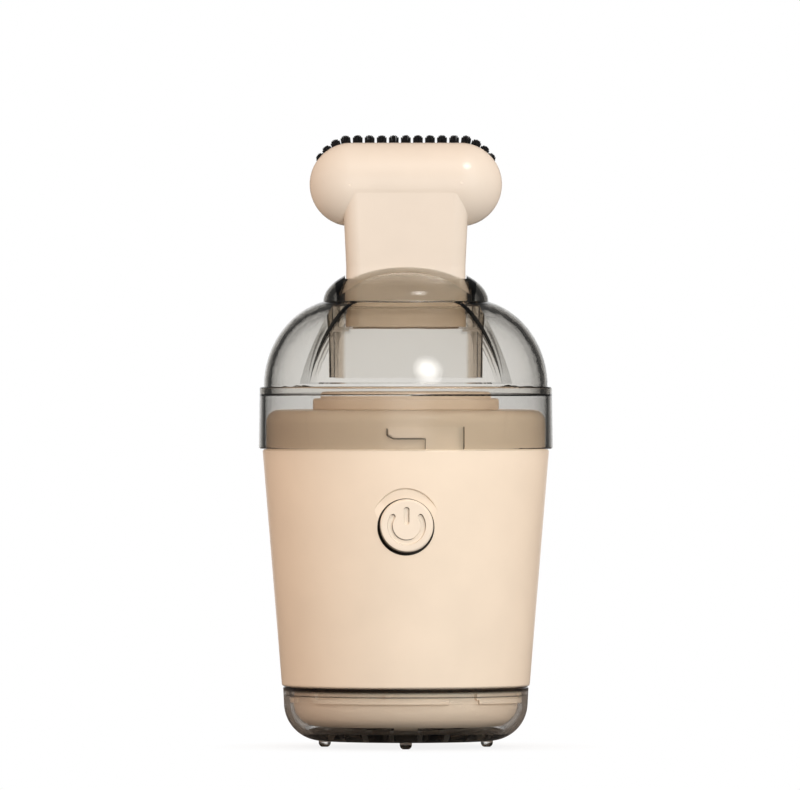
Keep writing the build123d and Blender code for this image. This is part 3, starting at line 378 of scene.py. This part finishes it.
def cup_shade():
    """Mask of painted shade on the cup: 1 where the real wall turns light away. That is along the
    sides of the facets, at both ends of the mouth, where the plastic is thickest, a little in the
    collar, and on the edges of the front bayonet slot."""
    group, nodes, links, shade_out, place = shade_group("cup_shade")
    at = split(nodes, links, place)
    x, y, z = (value(nodes, links, "ABSOLUTE", at[axis]) for axis in "XYZ")
    # painted shade: the thick ends of the mouth
    ends = value(nodes, links, "MULTIPLY",
                 remap(nodes, links, x, mouth_end_x, mouth_full_x, 0.0, mouth_depth),
                 remap(nodes, links, z, mouth_foot_z, mouth_full_z, 0.0, 1.0))
    # painted shade: a light darkening in the collar
    collar = remap(nodes, links, z, collar_top_z, collar_top_z + collar_fade, collar_depth, 0.0)
    shade = value(nodes, links, "MAXIMUM", crease_mask(nodes, links, x, y, z), ends)
    shade = value(nodes, links, "MAXIMUM", shade, collar)
    # painted shade: thin dark lines on the edges of the front bayonet slot
    front = remap(nodes, links, at["Y"], slot_front_y, slot_back_y, 1.0, 0.0)
    corners = np.array(slot_corners) * MM
    edges = [*zip(corners[:-1], corners[1:]), np.array(slot_far_edge) * MM]
    for start, end in edges:
        line = line_mask(nodes, links, place, start, end, slot_line, slot_soft)
        shade = value(nodes, links, "MAXIMUM", shade, value(nodes, links, "MULTIPLY", line, front))
    links.new(shade, shade_out)
    return group


# %% Where the duct and the base cap get painted shade
duct_clear_x, duct_full_x = 16.4 * MM, 17.4 * MM
rim_start_z, rim_full_z = 14.9 * MM, 15.6 * MM
rim_depth = 0.97
ledge_z = 14.15 * MM
ledge_half, ledge_end = 0.08 * MM, 0.26 * MM
ledge_depth = 0.7


def duct_shade():
    """Mask of painted shade on the duct: 1 past both sides of the stem."""
    group, nodes, links, shade_out, place = shade_group("duct_shade")
    side = value(nodes, links, "ABSOLUTE", split(nodes, links, place)["X"])
    links.new(remap(nodes, links, side, duct_clear_x, duct_full_x, 0.0, 1.0), shade_out)
    return group


def cap_shade():
    """Mask of painted shade on the base cap: a band at its rim and a thin line at the height of
    its ledge.
    """
    group, nodes, links, shade_out, place = shade_group("cap_shade")
    z = split(nodes, links, place)["Z"]
    rim = remap(nodes, links, z, rim_start_z, rim_full_z, 0.0, rim_depth)
    from_ledge = value(nodes, links, "ABSOLUTE", value(nodes, links, "SUBTRACT", z, ledge_z))
    ledge = remap(nodes, links, from_ledge, ledge_half, ledge_end, ledge_depth, 0.0)
    links.new(value(nodes, links, "MAXIMUM", rim, ledge), shade_out)
    return group


# %% Smoked clear material
clear_colour = (0.99, 0.99, 0.985)
clear_roughness = 0.02


def smoked_clear(name, wall_colour, density, shade, ior=1.40, through=(0.92, 0.87, 0.81),
                 painted_shade_colour=(0.03, 0.02, 0.012)):
    """Transparent plastic whose tint is absorption in its thickness: light that goes a distance d
    through it keeps exp(-density * (1 - wall_colour) * d). Shadow rays pass a plain wall with the
    colour through, so the parts inside stay lit. The shade group's mask paints shade: it turns the
    surface from clear_colour to the painted shade colour."""
    material = bpy.data.materials.new(name)
    material.use_nodes = True
    nodes, links = material.node_tree.nodes, material.node_tree.links
    shader = nodes["Principled BSDF"]
    mask = nodes.new("ShaderNodeGroup")
    mask.node_tree = shade
    # painted shade: the mask turns the clear colour dark where the real wall would turn light away
    tint = choose(nodes, links, mask.outputs["Shade"], clear_colour, painted_shade_colour)
    links.new(tint, shader.inputs["Base Color"])
    shader.inputs["Roughness"].default_value = clear_roughness
    shader.inputs["IOR"].default_value = ior
    shader.inputs["Transmission Weight"].default_value = 1.0
    clear = nodes.new("ShaderNodeBsdfTransparent")
    clear.inputs["Color"].default_value = (*through, 1.0)
    path = nodes.new("ShaderNodeLightPath")
    mix = nodes.new("ShaderNodeMixShader")
    links.new(path.outputs["Is Shadow Ray"], mix.inputs["Fac"])
    links.new(shader.outputs["BSDF"], mix.inputs[1])
    links.new(clear.outputs["BSDF"], mix.inputs[2])
    out = nodes["Material Output"]
    links.new(mix.outputs["Shader"], out.inputs["Surface"])
    body = nodes.new("ShaderNodeVolumeAbsorption")
    body.inputs["Color"].default_value = (*wall_colour, 1.0)
    body.inputs["Density"].default_value = density
    links.new(body.outputs["Volume"], out.inputs["Volume"])
    return material


# %% The materials of this vacuum
button_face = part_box("button_cap")[0].y
# painted shade: the base drum's colour darkens towards its underside
underside_painted_shade = ("Z", 5.2 * MM, 8.2 * MM, 0.40)
# painted shade: the button's colour darkens deeper in the gap of its hole
button_gap_painted_shade = ("Y", button_face + 1.7 * MM, button_face + 0.9 * MM, 0.14)
finishes = {
    "body_plastic": plastic("peach_body", (0.88, 0.755, 0.605), 0.42, 0.00003, polish=0.25),
    # painted shade: a darker copy of the body's peach, toned down for the stronger light on the
    # nozzle at the top
    "nozzle_plastic": plastic("peach_nozzle", (0.73, 0.655, 0.56), 0.38, 0.00002, polish=0.5),
    # painted shade: a darker, duller copy of the peach for the filter inside the smoked cup
    "filter_plastic": plastic("peach_filter", (0.73, 0.63, 0.52), 0.48, 0.00004),
    # painted light: a lighter copy of the peach for the base drum under its clear cap
    "base_plastic": plastic("peach_base", (0.94, 0.80, 0.66), 0.44, 0.00004, painted_shade=underside_painted_shade),
    # painted shade: the button darkens deep in the gap of its hole and on walls that face away from
    # the lamps
    "button_plastic": plastic("peach_button", (0.85, 0.75, 0.62), 0.40, 0.00002, polish=0.3,
                              painted_shade=button_gap_painted_shade, painted_wall_shade=0.2),
    # painted shade: the cup's mask darkens its facet sides, mouth ends, collar and slot edges
    "smoked_clear": smoked_clear("smoked_cup", (0.60, 0.56, 0.49), 160.0, cup_shade()),
    "bristle_nylon": plastic("black_nylon", (0.012, 0.012, 0.013), 0.38, 0.00001),
    "filter_paper": plastic("pleated_paper", (0.80, 0.79, 0.75), 0.85, 0.00010, specular=0.2),
    "soft_rubber": plastic("black_rubber", (0.03, 0.03, 0.03), 0.65, 0.00005),
    "switch_plastic": plastic("black_plastic", (0.025, 0.025, 0.027), 0.45, 0.00003),
    "circuit_board": plastic("green_board", (0.02, 0.13, 0.06), 0.30, 0.00003),
    "screw_steel": plastic("zinc_screw", (0.60, 0.60, 0.61), 0.30, 0.00001, metallic=1.0),
    "fan_plastic": plastic("grey_plastic", (0.06, 0.06, 0.065), 0.45, 0.00004),
    "impeller_plastic": plastic("white_plastic", (0.80, 0.80, 0.79), 0.38, 0.00003),
    "shaft_steel": plastic("ground_steel", (0.66, 0.66, 0.67), 0.18, 0.00001, metallic=1.0),
    "bush_bronze": plastic("sintered_bronze", (0.55, 0.36, 0.18), 0.42, 0.00004, metallic=1.0),
    "motor_steel": plastic("drawn_steel", (0.58, 0.58, 0.60), 0.28, 0.00001, metallic=1.0),
    "cell_wrap": plastic("cell_sleeve", (0.05, 0.16, 0.36), 0.30, 0.00001),
    "exhaust_foam": plastic("grey_foam", (0.05, 0.05, 0.055), 0.95, 0.00030, specular=0.1),
    "port_black": plastic("black_socket", (0.008, 0.008, 0.009), 0.30, 0.00001),
}
slot_of = {part["node"]: part["material_slot"] for part in frame["record"]["subparts"]}
for node, holder in frame["nodes"].items():
    holder.data.materials.clear()
    holder.data.materials.append(finishes[slot_of[node]])
own_finish = {
    # painted shade: the base cap darkens in a band at its rim and a thin line at its ledge
    "base_cap": smoked_clear("smoked_cap", (0.62, 0.58, 0.51), 55.0, cap_shade(),
                             through=(0.96, 0.93, 0.89)),
    # painted shade: the duct's clear walls are tinted darker past both sides of the stem
    "inlet_duct": smoked_clear("smoked_duct", (0.72, 0.68, 0.63), 100.0, duct_shade(), ior=1.08,
                               painted_shade_colour=(0.82, 0.77, 0.71)),
}
for node, material in own_finish.items():
    frame["nodes"][node].data.materials[0] = material
print(len(finishes), "finishes on", len(slot_of), "nodes")

# %% [markdown]
# ## The power button
# The button is one turned piece with a symbol engraved in its face. A bump would look flat from
# the side, so the groove is real. We sweep a profile round the button's axis, and on the face the
# surface sinks wherever a point is closer to the symbol's centre line than half a stroke. The cap
# has play in its hole, and in the photograph it hangs a little up and to the right.

# %% Sizes of the button
flange_low, flange_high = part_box("button_cap")
button_z = (flange_low.z + flange_high.z) / 2
face_y = flange_low.y
stem_y = flange_high.y
flange_r = (flange_high.x - flange_low.x) / 2
cap_r = flange_r - 1.4 * MM
flange_y = face_y + 4.0 * MM
flange_t = 1.0 * MM
stem_r = 2.2 * MM
edge_r = 0.7 * MM
chamfer = 0.1 * MM
first_r = 0.02 * MM
face_rings, edge_rings, spokes = 150, 12, 288
ring_r = 4.45 * MM
bar_low, bar_high = 1.05 * MM, 4.3 * MM
stroke = 1.3 * MM
groove = 0.75 * MM
groove_soft = 0.28 * MM
gap_angle = np.radians(57.0)
lean_x, lean_z = 0.18 * MM, 0.33 * MM
print("button centre at", round(button_z / MM, 2), "mm, cap radius", round(cap_r / MM, 2), "mm")


# %% Depth of the engraving
def symbol_distance(x, z):
    """Distance of a face point from the centre line of the power symbol.
    The ring is a circle that is open at the top: inside its span the distance is |r - ring_r|, and
    in the gap it is the distance to the nearer end. The bar is a short upright segment."""
    radius = np.hypot(x, z)
    angle = np.abs(np.arctan2(x, z))
    end_x, end_z = ring_r * np.sin(gap_angle), ring_r * np.cos(gap_angle)
    to_end = np.hypot(np.abs(x) - end_x, z - end_z)
    to_ring = np.where(angle > gap_angle, np.abs(radius - ring_r), to_end)
    to_bar = np.hypot(x, z - np.clip(z, bar_low, bar_high))
    return np.minimum(to_ring, to_bar)


def engraving(x, z):
    """Depth of the groove = groove * (3 t^2 - 2 t^3). With d the distance to the centre line, t is
    (stroke / 2 + groove_soft / 2 - d) / groove_soft, held in 0..1: 1 in the stroke, 0 outside."""
    t = np.clip((stroke / 2 + groove_soft / 2 - symbol_distance(x, z)) / groove_soft, 0.0, 1.0)
    return groove * (3 - 2 * t) * t * t


# %% Build the button
def button_profile():
    """Radius and depth behind the face along the turned profile, from the centre to the stem's end.
    The face is many close rings, so the groove is sharp; the edge is a quarter circle."""
    face = np.linspace(first_r, cap_r - edge_r, face_rings)
    turn = np.linspace(0.0, np.pi / 2, edge_rings)[1:]
    radii = [face, cap_r - edge_r + edge_r * np.sin(turn)]
    depths = [np.zeros_like(face), edge_r - edge_r * np.cos(turn)]
    front, back = flange_y - face_y, stem_y - face_y
    corners = [(cap_r, front), (flange_r - chamfer, front), (flange_r, front + chamfer),
               (flange_r, front + flange_t), (stem_r, front + flange_t), (stem_r, back),
               (first_r, back)]
    radii.append(np.array([corner[0] for corner in corners]))
    depths.append(np.array([corner[1] for corner in corners]))
    return np.concatenate(radii), np.concatenate(depths), len(face)


def build_button():
    """Turned surface: point = (lean_x + r sin a, face_y + depth + engraving, middle_z + r cos a),
    with middle_z = button_z + lean_z. A fan of triangles closes the face and the stem's end."""
    radius, depth, face_rows = button_profile()
    angle = np.linspace(0, 2 * np.pi, spokes, endpoint=False)
    x = radius[:, None] * np.sin(angle)
    z = radius[:, None] * np.cos(angle)
    y = np.repeat(depth[:, None], len(angle), axis=1)
    y[:face_rows] += engraving(x[:face_rows], z[:face_rows])
    middle_z = button_z + lean_z
    points = np.stack([lean_x + x, face_y + y, middle_z + z], axis=-1).reshape(-1, 3)
    rows, columns = x.shape
    quads = grid_faces(rows, columns, closed=True)[:, ::-1]
    hub = np.full(columns, len(points))
    points = np.vstack([points, [lean_x, face_y, middle_z], [lean_x, stem_y, middle_z]])
    ring = np.arange(columns)
    following = (ring + 1) % columns
    last = (rows - 1) * columns
    front = np.stack([hub, following, ring], axis=-1)[:, ::-1]
    rear = np.stack([hub + 1, last + ring, last + following], axis=-1)[:, ::-1]
    return make_mesh("power_button", points, quads, np.vstack([front, rear]))


add_piece("power_button", build_button(), "power_button",
          finishes["button_plastic"], stands_for=["button_cap"])

# %% [markdown]
# ## The brush
# Each row of the brush is a nylon strip with round tufts set into it. A tuft is some three dozen
# strands, held tight at the root and a little splayed at the tip, each cut at its own length. All
# strands of a row are made at once: their roots, directions and lengths are arrays, and one more
# array dimension runs along each strand and round it.

# %% Sizes of the brush
head_low, head_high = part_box("brush_nozzle")
strip_low, strip_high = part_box("front_bristles")
head_r = 11.35 * MM
head_half = (head_high.x - head_low.x) / 2 - head_r
head_z = head_high.z - head_r
row_y = abs(strip_low.y + strip_high.y) / 2
tip_r = strip_high.z - head_z
tuft_pitch = 3.28 * MM
flat_tufts = 9
end_tufts = 4
first_end_angle, end_angle_step = np.radians(7.5), np.radians(13.8)
tip_drop = 1.2 * MM
root_r = 10.85 * MM
tuft_half_x = 1.20 * MM
tuft_half_y = 0.86 * MM
tuft_dome = 0.75 * MM
strand_r = 0.13 * MM
strip_half_y = 0.98 * MM
strip_inner_r, strip_outer_r = 10.38 * MM, 11.0 * MM
strip_end, strip_end_steps = np.radians(57.8), 24
strand_sides = 5
strand_steps = np.array([0.0, 0.5, 0.93, 1.0])
strand_taper = np.array([1.0, 0.98, 0.92, 0.55])
splay_mean, splay_range, stray = 0.015, 0.015, 0.008
uneven_cut = 0.12 * MM
print("head radius", round(head_r / MM, 2), "mm, bristle tips at", round(tip_r / MM, 2), "mm")


# %% Where the tufts stand
def tuft_frames():
    """Foot centre x, lean angle and tip radius of every tuft of a row, as arrays.
    Along the straight part the tufts are a pitch apart. Round each end they fan out about the
    centre of the end, a fixed angle apart, and get shorter."""
    flat = (np.arange(flat_tufts) - (flat_tufts - 1) / 2) * tuft_pitch
    step = np.arange(end_tufts)
    lean = first_end_angle + step * end_angle_step
    drop = tip_r - tip_drop * step / (end_tufts - 1)
    x = np.concatenate([flat, np.full(end_tufts, head_half), np.full(end_tufts, -head_half)])
    angle = np.concatenate([np.zeros(flat_tufts), lean, -lean])
    tips = np.concatenate([np.full(flat_tufts, tip_r), drop, drop])
    return x, angle, tips


def strand_seats():
    """Places of the strands in a tuft: three rings round one, evenly turned, in units of 1."""
    rings = [(0.0, 1), (0.36, 6), (0.69, 12), (1.0, 18)]
    seats = [np.stack([r * np.cos(a), r * np.sin(a)], axis=-1)
             for r, n in rings for a in [np.arange(n) * 2 * np.pi / n + 0.3 * n]]
    return np.concatenate(seats)


# %% Build one row of tufts
def build_tufts(name, y, seed):
    """All strands of a row as one mesh.
    A strand's point = root + direction * s * length + radius * (cos b, sin b) across, with s along
    the strand and b round it. Direction leans with the tuft and a little away from its middle. A
    strand at distance q from the middle, in units of 1, is cut tuft_dome * (1 - sqrt(1 - 0.98 q^2))
    shorter, so each tuft has a round top. No point is higher than the frame's own bristles."""
    random = np.random.default_rng(seed)
    x, angle, tips = tuft_frames()
    seats = strand_seats()
    tufts, strands = len(x), len(seats)
    across = np.stack([np.cos(angle), np.zeros(tufts), -np.sin(angle)], axis=-1)[:, None, :]
    upward = np.stack([np.sin(angle), np.zeros(tufts), np.cos(angle)], axis=-1)[:, None, :]
    side = np.array([0.0, 1.0, 0.0])
    seat_x = seats[None, :, :1]
    seat_y = seats[None, :, 1:]
    centre = np.stack([x, np.full(tufts, y), np.full(tufts, head_z)], axis=-1)[:, None, :]
    root = centre + upward * root_r + across * seat_x * tuft_half_x + side * seat_y * tuft_half_y
    splay = splay_mean + random.uniform(-splay_range, splay_range, (tufts, strands, 1))
    direction = upward + (across * seat_x + side * seat_y) * splay
    direction = direction + random.normal(0, stray, (tufts, strands, 3))
    direction /= np.linalg.norm(direction, axis=-1, keepdims=True)
    trim = tuft_dome * (1 - np.sqrt(1 - 0.98 * (seat_x ** 2 + seat_y ** 2)))
    uneven = random.uniform(0.0, uneven_cut, (tufts, strands, 1))
    reach = tips[:, None, None] - root_r - trim - uneven
    sides, s = strand_sides, strand_steps
    thick = strand_r * strand_taper
    b = np.arange(sides) * 2 * np.pi / sides
    ring = (across[:, :, None, None, :] * np.cos(b)[:, None] + side * np.sin(b)[:, None])
    along = (direction * reach)[:, :, None, None, :] * s[:, None, None]
    points = root[:, :, None, None, :] + along + ring * thick[:, None, None]
    points[..., 2] = np.minimum(points[..., 2], strip_high.z)
    total = tufts * strands
    points = points.reshape(total, len(s) * sides, 3)
    tube = grid_faces(len(s), sides, closed=True)
    first = (np.arange(total) * len(s) * sides)[:, None, None]
    quads = (tube[None] + first).reshape(-1, 4)
    top = (len(s) - 1) * sides
    fan = np.array([[top, top + k, top + k + 1] for k in range(1, sides - 1)])
    caps = (fan[None] + first).reshape(-1, 3)
    return make_mesh(name, points.reshape(-1, 3), quads, caps)


# %% Build one backing strip
def build_strip(name, y):
    """Rounded bar that follows the head: a rectangle swept along the straight top and both ends.
    A station of the path is a centre and a lean angle; the section's corners lie at the inner and
    outer radius and at y minus and plus the half width."""
    turn = np.linspace(0, strip_end, strip_end_steps)
    angle = np.concatenate([-turn[::-1], turn])
    centre_x = np.repeat([-head_half, head_half], strip_end_steps)
    section_r = np.array([strip_inner_r, strip_outer_r, strip_outer_r, strip_inner_r])
    section_y = np.array([-1, -1, 1, 1]) * strip_half_y
    x = centre_x[:, None] + section_r * np.sin(angle)[:, None]
    z = head_z + section_r * np.cos(angle)[:, None]
    points = np.stack([x, np.broadcast_to(y + section_y, x.shape), z], axis=-1).reshape(-1, 3)
    quads = grid_faces(len(angle), 4, closed=True)
    last = (len(angle) - 1) * 4
    ends = np.array([[3, 2, 1, 0], [last, last + 1, last + 2, last + 3]])
    return make_mesh(name, points, np.vstack([quads, ends]), smooth=False)


nylon = finishes["bristle_nylon"]
for side_name, y, seed in [("front", -row_y, 11), ("rear", row_y, 12)]:
    tufts_name, strip_name = side_name + "_tufts", side_name + "_strip"
    add_piece(tufts_name, build_tufts(tufts_name, y, seed), "nozzle", nylon,
              stands_for=[side_name + "_bristles"])
    add_piece(strip_name, build_strip(strip_name, y), "nozzle", nylon)

# %% [markdown]
# ## The studio
# The camera is a very long lens at the height of the vacuum's middle, so its edges stay upright
# and its seams stay straight. There are three kinds of lamps. Five round ones of growing size, one
# behind the other high on the right, make the round spots with a soft rim on the cup and the head,
# and light no matt surface. A key lamp beside them and a large panel at the front right light the
# plastic, and show in no reflection and through no clear wall.

# %% Camera
image_width = 800
pixels_per_metre = 3675.0
image_middle = Vector((-1.58 * MM, 0.0, 95.7 * MM))
lens_mm = 500.0
sensor_mm = 36.0
camera_data = bpy.data.cameras.new("camera")
camera_data.lens = lens_mm
camera_data.sensor_width = sensor_mm
distance = image_width / pixels_per_metre * lens_mm / sensor_mm
camera_data.clip_end = 4 * distance
camera = bpy.data.objects.new("camera", camera_data)
bpy.context.scene.collection.objects.link(camera)
camera.location = image_middle + Vector((0.0, -distance, 0.0))
camera.rotation_euler = (np.pi / 2, 0.0, 0.0)
bpy.context.scene.camera = camera
print("camera distance", round(distance, 3), "m")


# %% Lamps
lamp_aim = Vector((0.0, 0.0, 90 * MM))
spot_direction = (0.26, -0.60, 0.76)
spot_reach, spot_step = 0.9, 0.001
spot_sizes = (0.10, 0.15, 0.20, 0.26, 0.33)
spot_watts_per_area = 6.5
white = (1.0, 1.0, 1.0)


def lamp(name, direction, reach, size, watts, colour, shape="DISK"):
    """Flat lamp at a direction and distance from the point lamp_aim, turned to face it."""
    data = bpy.data.lights.new(name, "AREA")
    data.shape = shape
    data.size = size
    data.energy = watts
    data.color = colour
    holder = bpy.data.objects.new(name, data)
    bpy.context.scene.collection.objects.link(holder)
    holder.location = lamp_aim + Vector(direction).normalized() * reach
    holder.rotation_euler = (lamp_aim - holder.location).to_track_quat("-Z", "Y").to_euler()
    return holder


for number, size in enumerate(spot_sizes):
    spot = lamp("spot_lamp_" + str(number), spot_direction, spot_reach + spot_step * number, size,
                spot_watts_per_area * size ** 2, white)
    spot.visible_diffuse = False
key = lamp("key_lamp", (0.30, -0.60, 0.70), reach=0.9, size=0.12, watts=0.55,
           colour=(0.90, 0.96, 1.0))
panel = lamp("right_panel", (0.50, -1.0, 0.22), reach=1.4, size=0.8, watts=10.2,
             colour=(0.62, 0.82, 0.95), shape="SQUARE")
for holder in (key, panel):
    holder.visible_glossy = False
    holder.visible_transmission = False
print("lamps:", [light.name for light in bpy.data.lights])


# %% [markdown]
# ## The room and the floor
# The camera sees a white room. Reflections and clear walls see white only straight before and
# behind the vacuum, and dark beside it, so clear walls get the dark outline of the photograph.
# Matt surfaces get a warm fill from all round, stronger from the side than from above. The floor
# shows white too, but it keeps a faint shadow round the feet.

# %% Room
fill_colour = (1.31, 1.05, 0.88)
fill_low, fill_high = 1.5, 0.35
dark_room = (0.06, 0.06, 0.06)
backdrop_end, backdrop_full = 0.92, 0.99


def studio_room():
    """World in three parts, told apart by the kind of ray.
    The camera sees white. A mirrored or bent ray that has met no matt surface sees white where the
    Y part of its direction is near 1, and the dark room elsewhere. Every other ray gets
    fill_colour times a factor that goes from fill_low at the horizon to fill_high overhead."""
    world = bpy.data.worlds.new("room")
    world.use_nodes = True
    nodes, links = world.node_tree.nodes, world.node_tree.links
    path = nodes.new("ShaderNodeLightPath")
    direction = split(nodes, links, nodes.new("ShaderNodeTexCoord").outputs["Generated"])
    straight = value(nodes, links, "ABSOLUTE", direction["Y"])
    backdrop = remap(nodes, links, straight, backdrop_end, backdrop_full, 0.0, 1.0)
    seen = choose(nodes, links, backdrop, dark_room, white)
    mirrored = value(nodes, links, "MAXIMUM", path.outputs["Is Glossy Ray"],
                     path.outputs["Is Transmission Ray"])
    direct = value(nodes, links, "SUBTRACT", mirrored, path.outputs["Diffuse Depth"], clamp=True)
    soft = nodes.new("ShaderNodeVectorMath")
    soft.operation = "SCALE"
    soft.inputs[0].default_value = fill_colour
    lift = remap(nodes, links, direction["Z"], 0.0, 1.0, fill_low, fill_high)
    links.new(lift, soft.inputs["Scale"])
    colour = choose(nodes, links, direct, soft.outputs["Vector"], seen)
    colour = choose(nodes, links, path.outputs["Is Camera Ray"], colour, white)
    links.new(colour, nodes["Background"].inputs["Color"])
    bpy.context.scene.world = world


# %% Floor
floor_half, floor_z = 0.7, -0.02 * MM
shadow_r, plain_r = 28 * MM, 55 * MM
white_near = 0.85
floor_to_camera = (0.85, 0.85, 0.85)
floor_through_clear = (0.20, 0.19, 0.175)
floor_to_others = (0.12, 0.115, 0.11)


def white_floor():
    """Floor that shows white to the camera and is a darker matt table to every other ray.
    For the camera it is a mix of a white glow and a lit matt surface. The glow's share goes from
    white_near round the feet, where the shadow shows, to 1 farther out. From below the floor can
    be looked through."""
    corners = np.array([[-1, -1], [1, -1], [1, 1], [-1, 1]]) * floor_half
    points = np.column_stack([corners, np.full(4, floor_z)])
    mesh = make_mesh("floor", points, np.array([[0, 1, 2, 3]]), smooth=False)
    material = bpy.data.materials.new("floor_white")
    material.use_nodes = True
    nodes, links = material.node_tree.nodes, material.node_tree.links
    matt = nodes["Principled BSDF"]
    matt.inputs["Roughness"].default_value = 0.9
    glow = nodes.new("ShaderNodeEmission")
    glow.inputs["Strength"].default_value = 1.0
    path = nodes.new("ShaderNodeLightPath")
    camera_ray = path.outputs["Is Camera Ray"]
    through = path.outputs["Is Transmission Ray"]
    table = choose(nodes, links, through, floor_to_others, floor_through_clear)
    links.new(choose(nodes, links, camera_ray, table, floor_to_camera), matt.inputs["Base Color"])
    span = nodes.new("ShaderNodeVectorMath")
    span.operation = "LENGTH"
    links.new(object_place(nodes), span.inputs[0])
    white_share = remap(nodes, links, span.outputs["Value"], shadow_r, plain_r, white_near, 1.0)
    mix = nodes.new("ShaderNodeMixShader")
    links.new(value(nodes, links, "MULTIPLY", camera_ray, white_share), mix.inputs["Fac"])
    links.new(matt.outputs["BSDF"], mix.inputs[1])
    links.new(glow.outputs["Emission"], mix.inputs[2])
    under = nodes.new("ShaderNodeMixShader")
    links.new(nodes.new("ShaderNodeNewGeometry").outputs["Backfacing"], under.inputs["Fac"])
    links.new(mix.outputs["Shader"], under.inputs[1])
    links.new(nodes.new("ShaderNodeBsdfTransparent").outputs["BSDF"], under.inputs[2])
    links.new(under.outputs["Shader"], nodes["Material Output"].inputs["Surface"])
    floor = bpy.data.objects.new("floor", mesh)
    bpy.context.scene.collection.objects.link(floor)
    mesh.materials.append(material)


studio_room()
white_floor()
bpy.context.scene.view_settings.view_transform = "Standard"
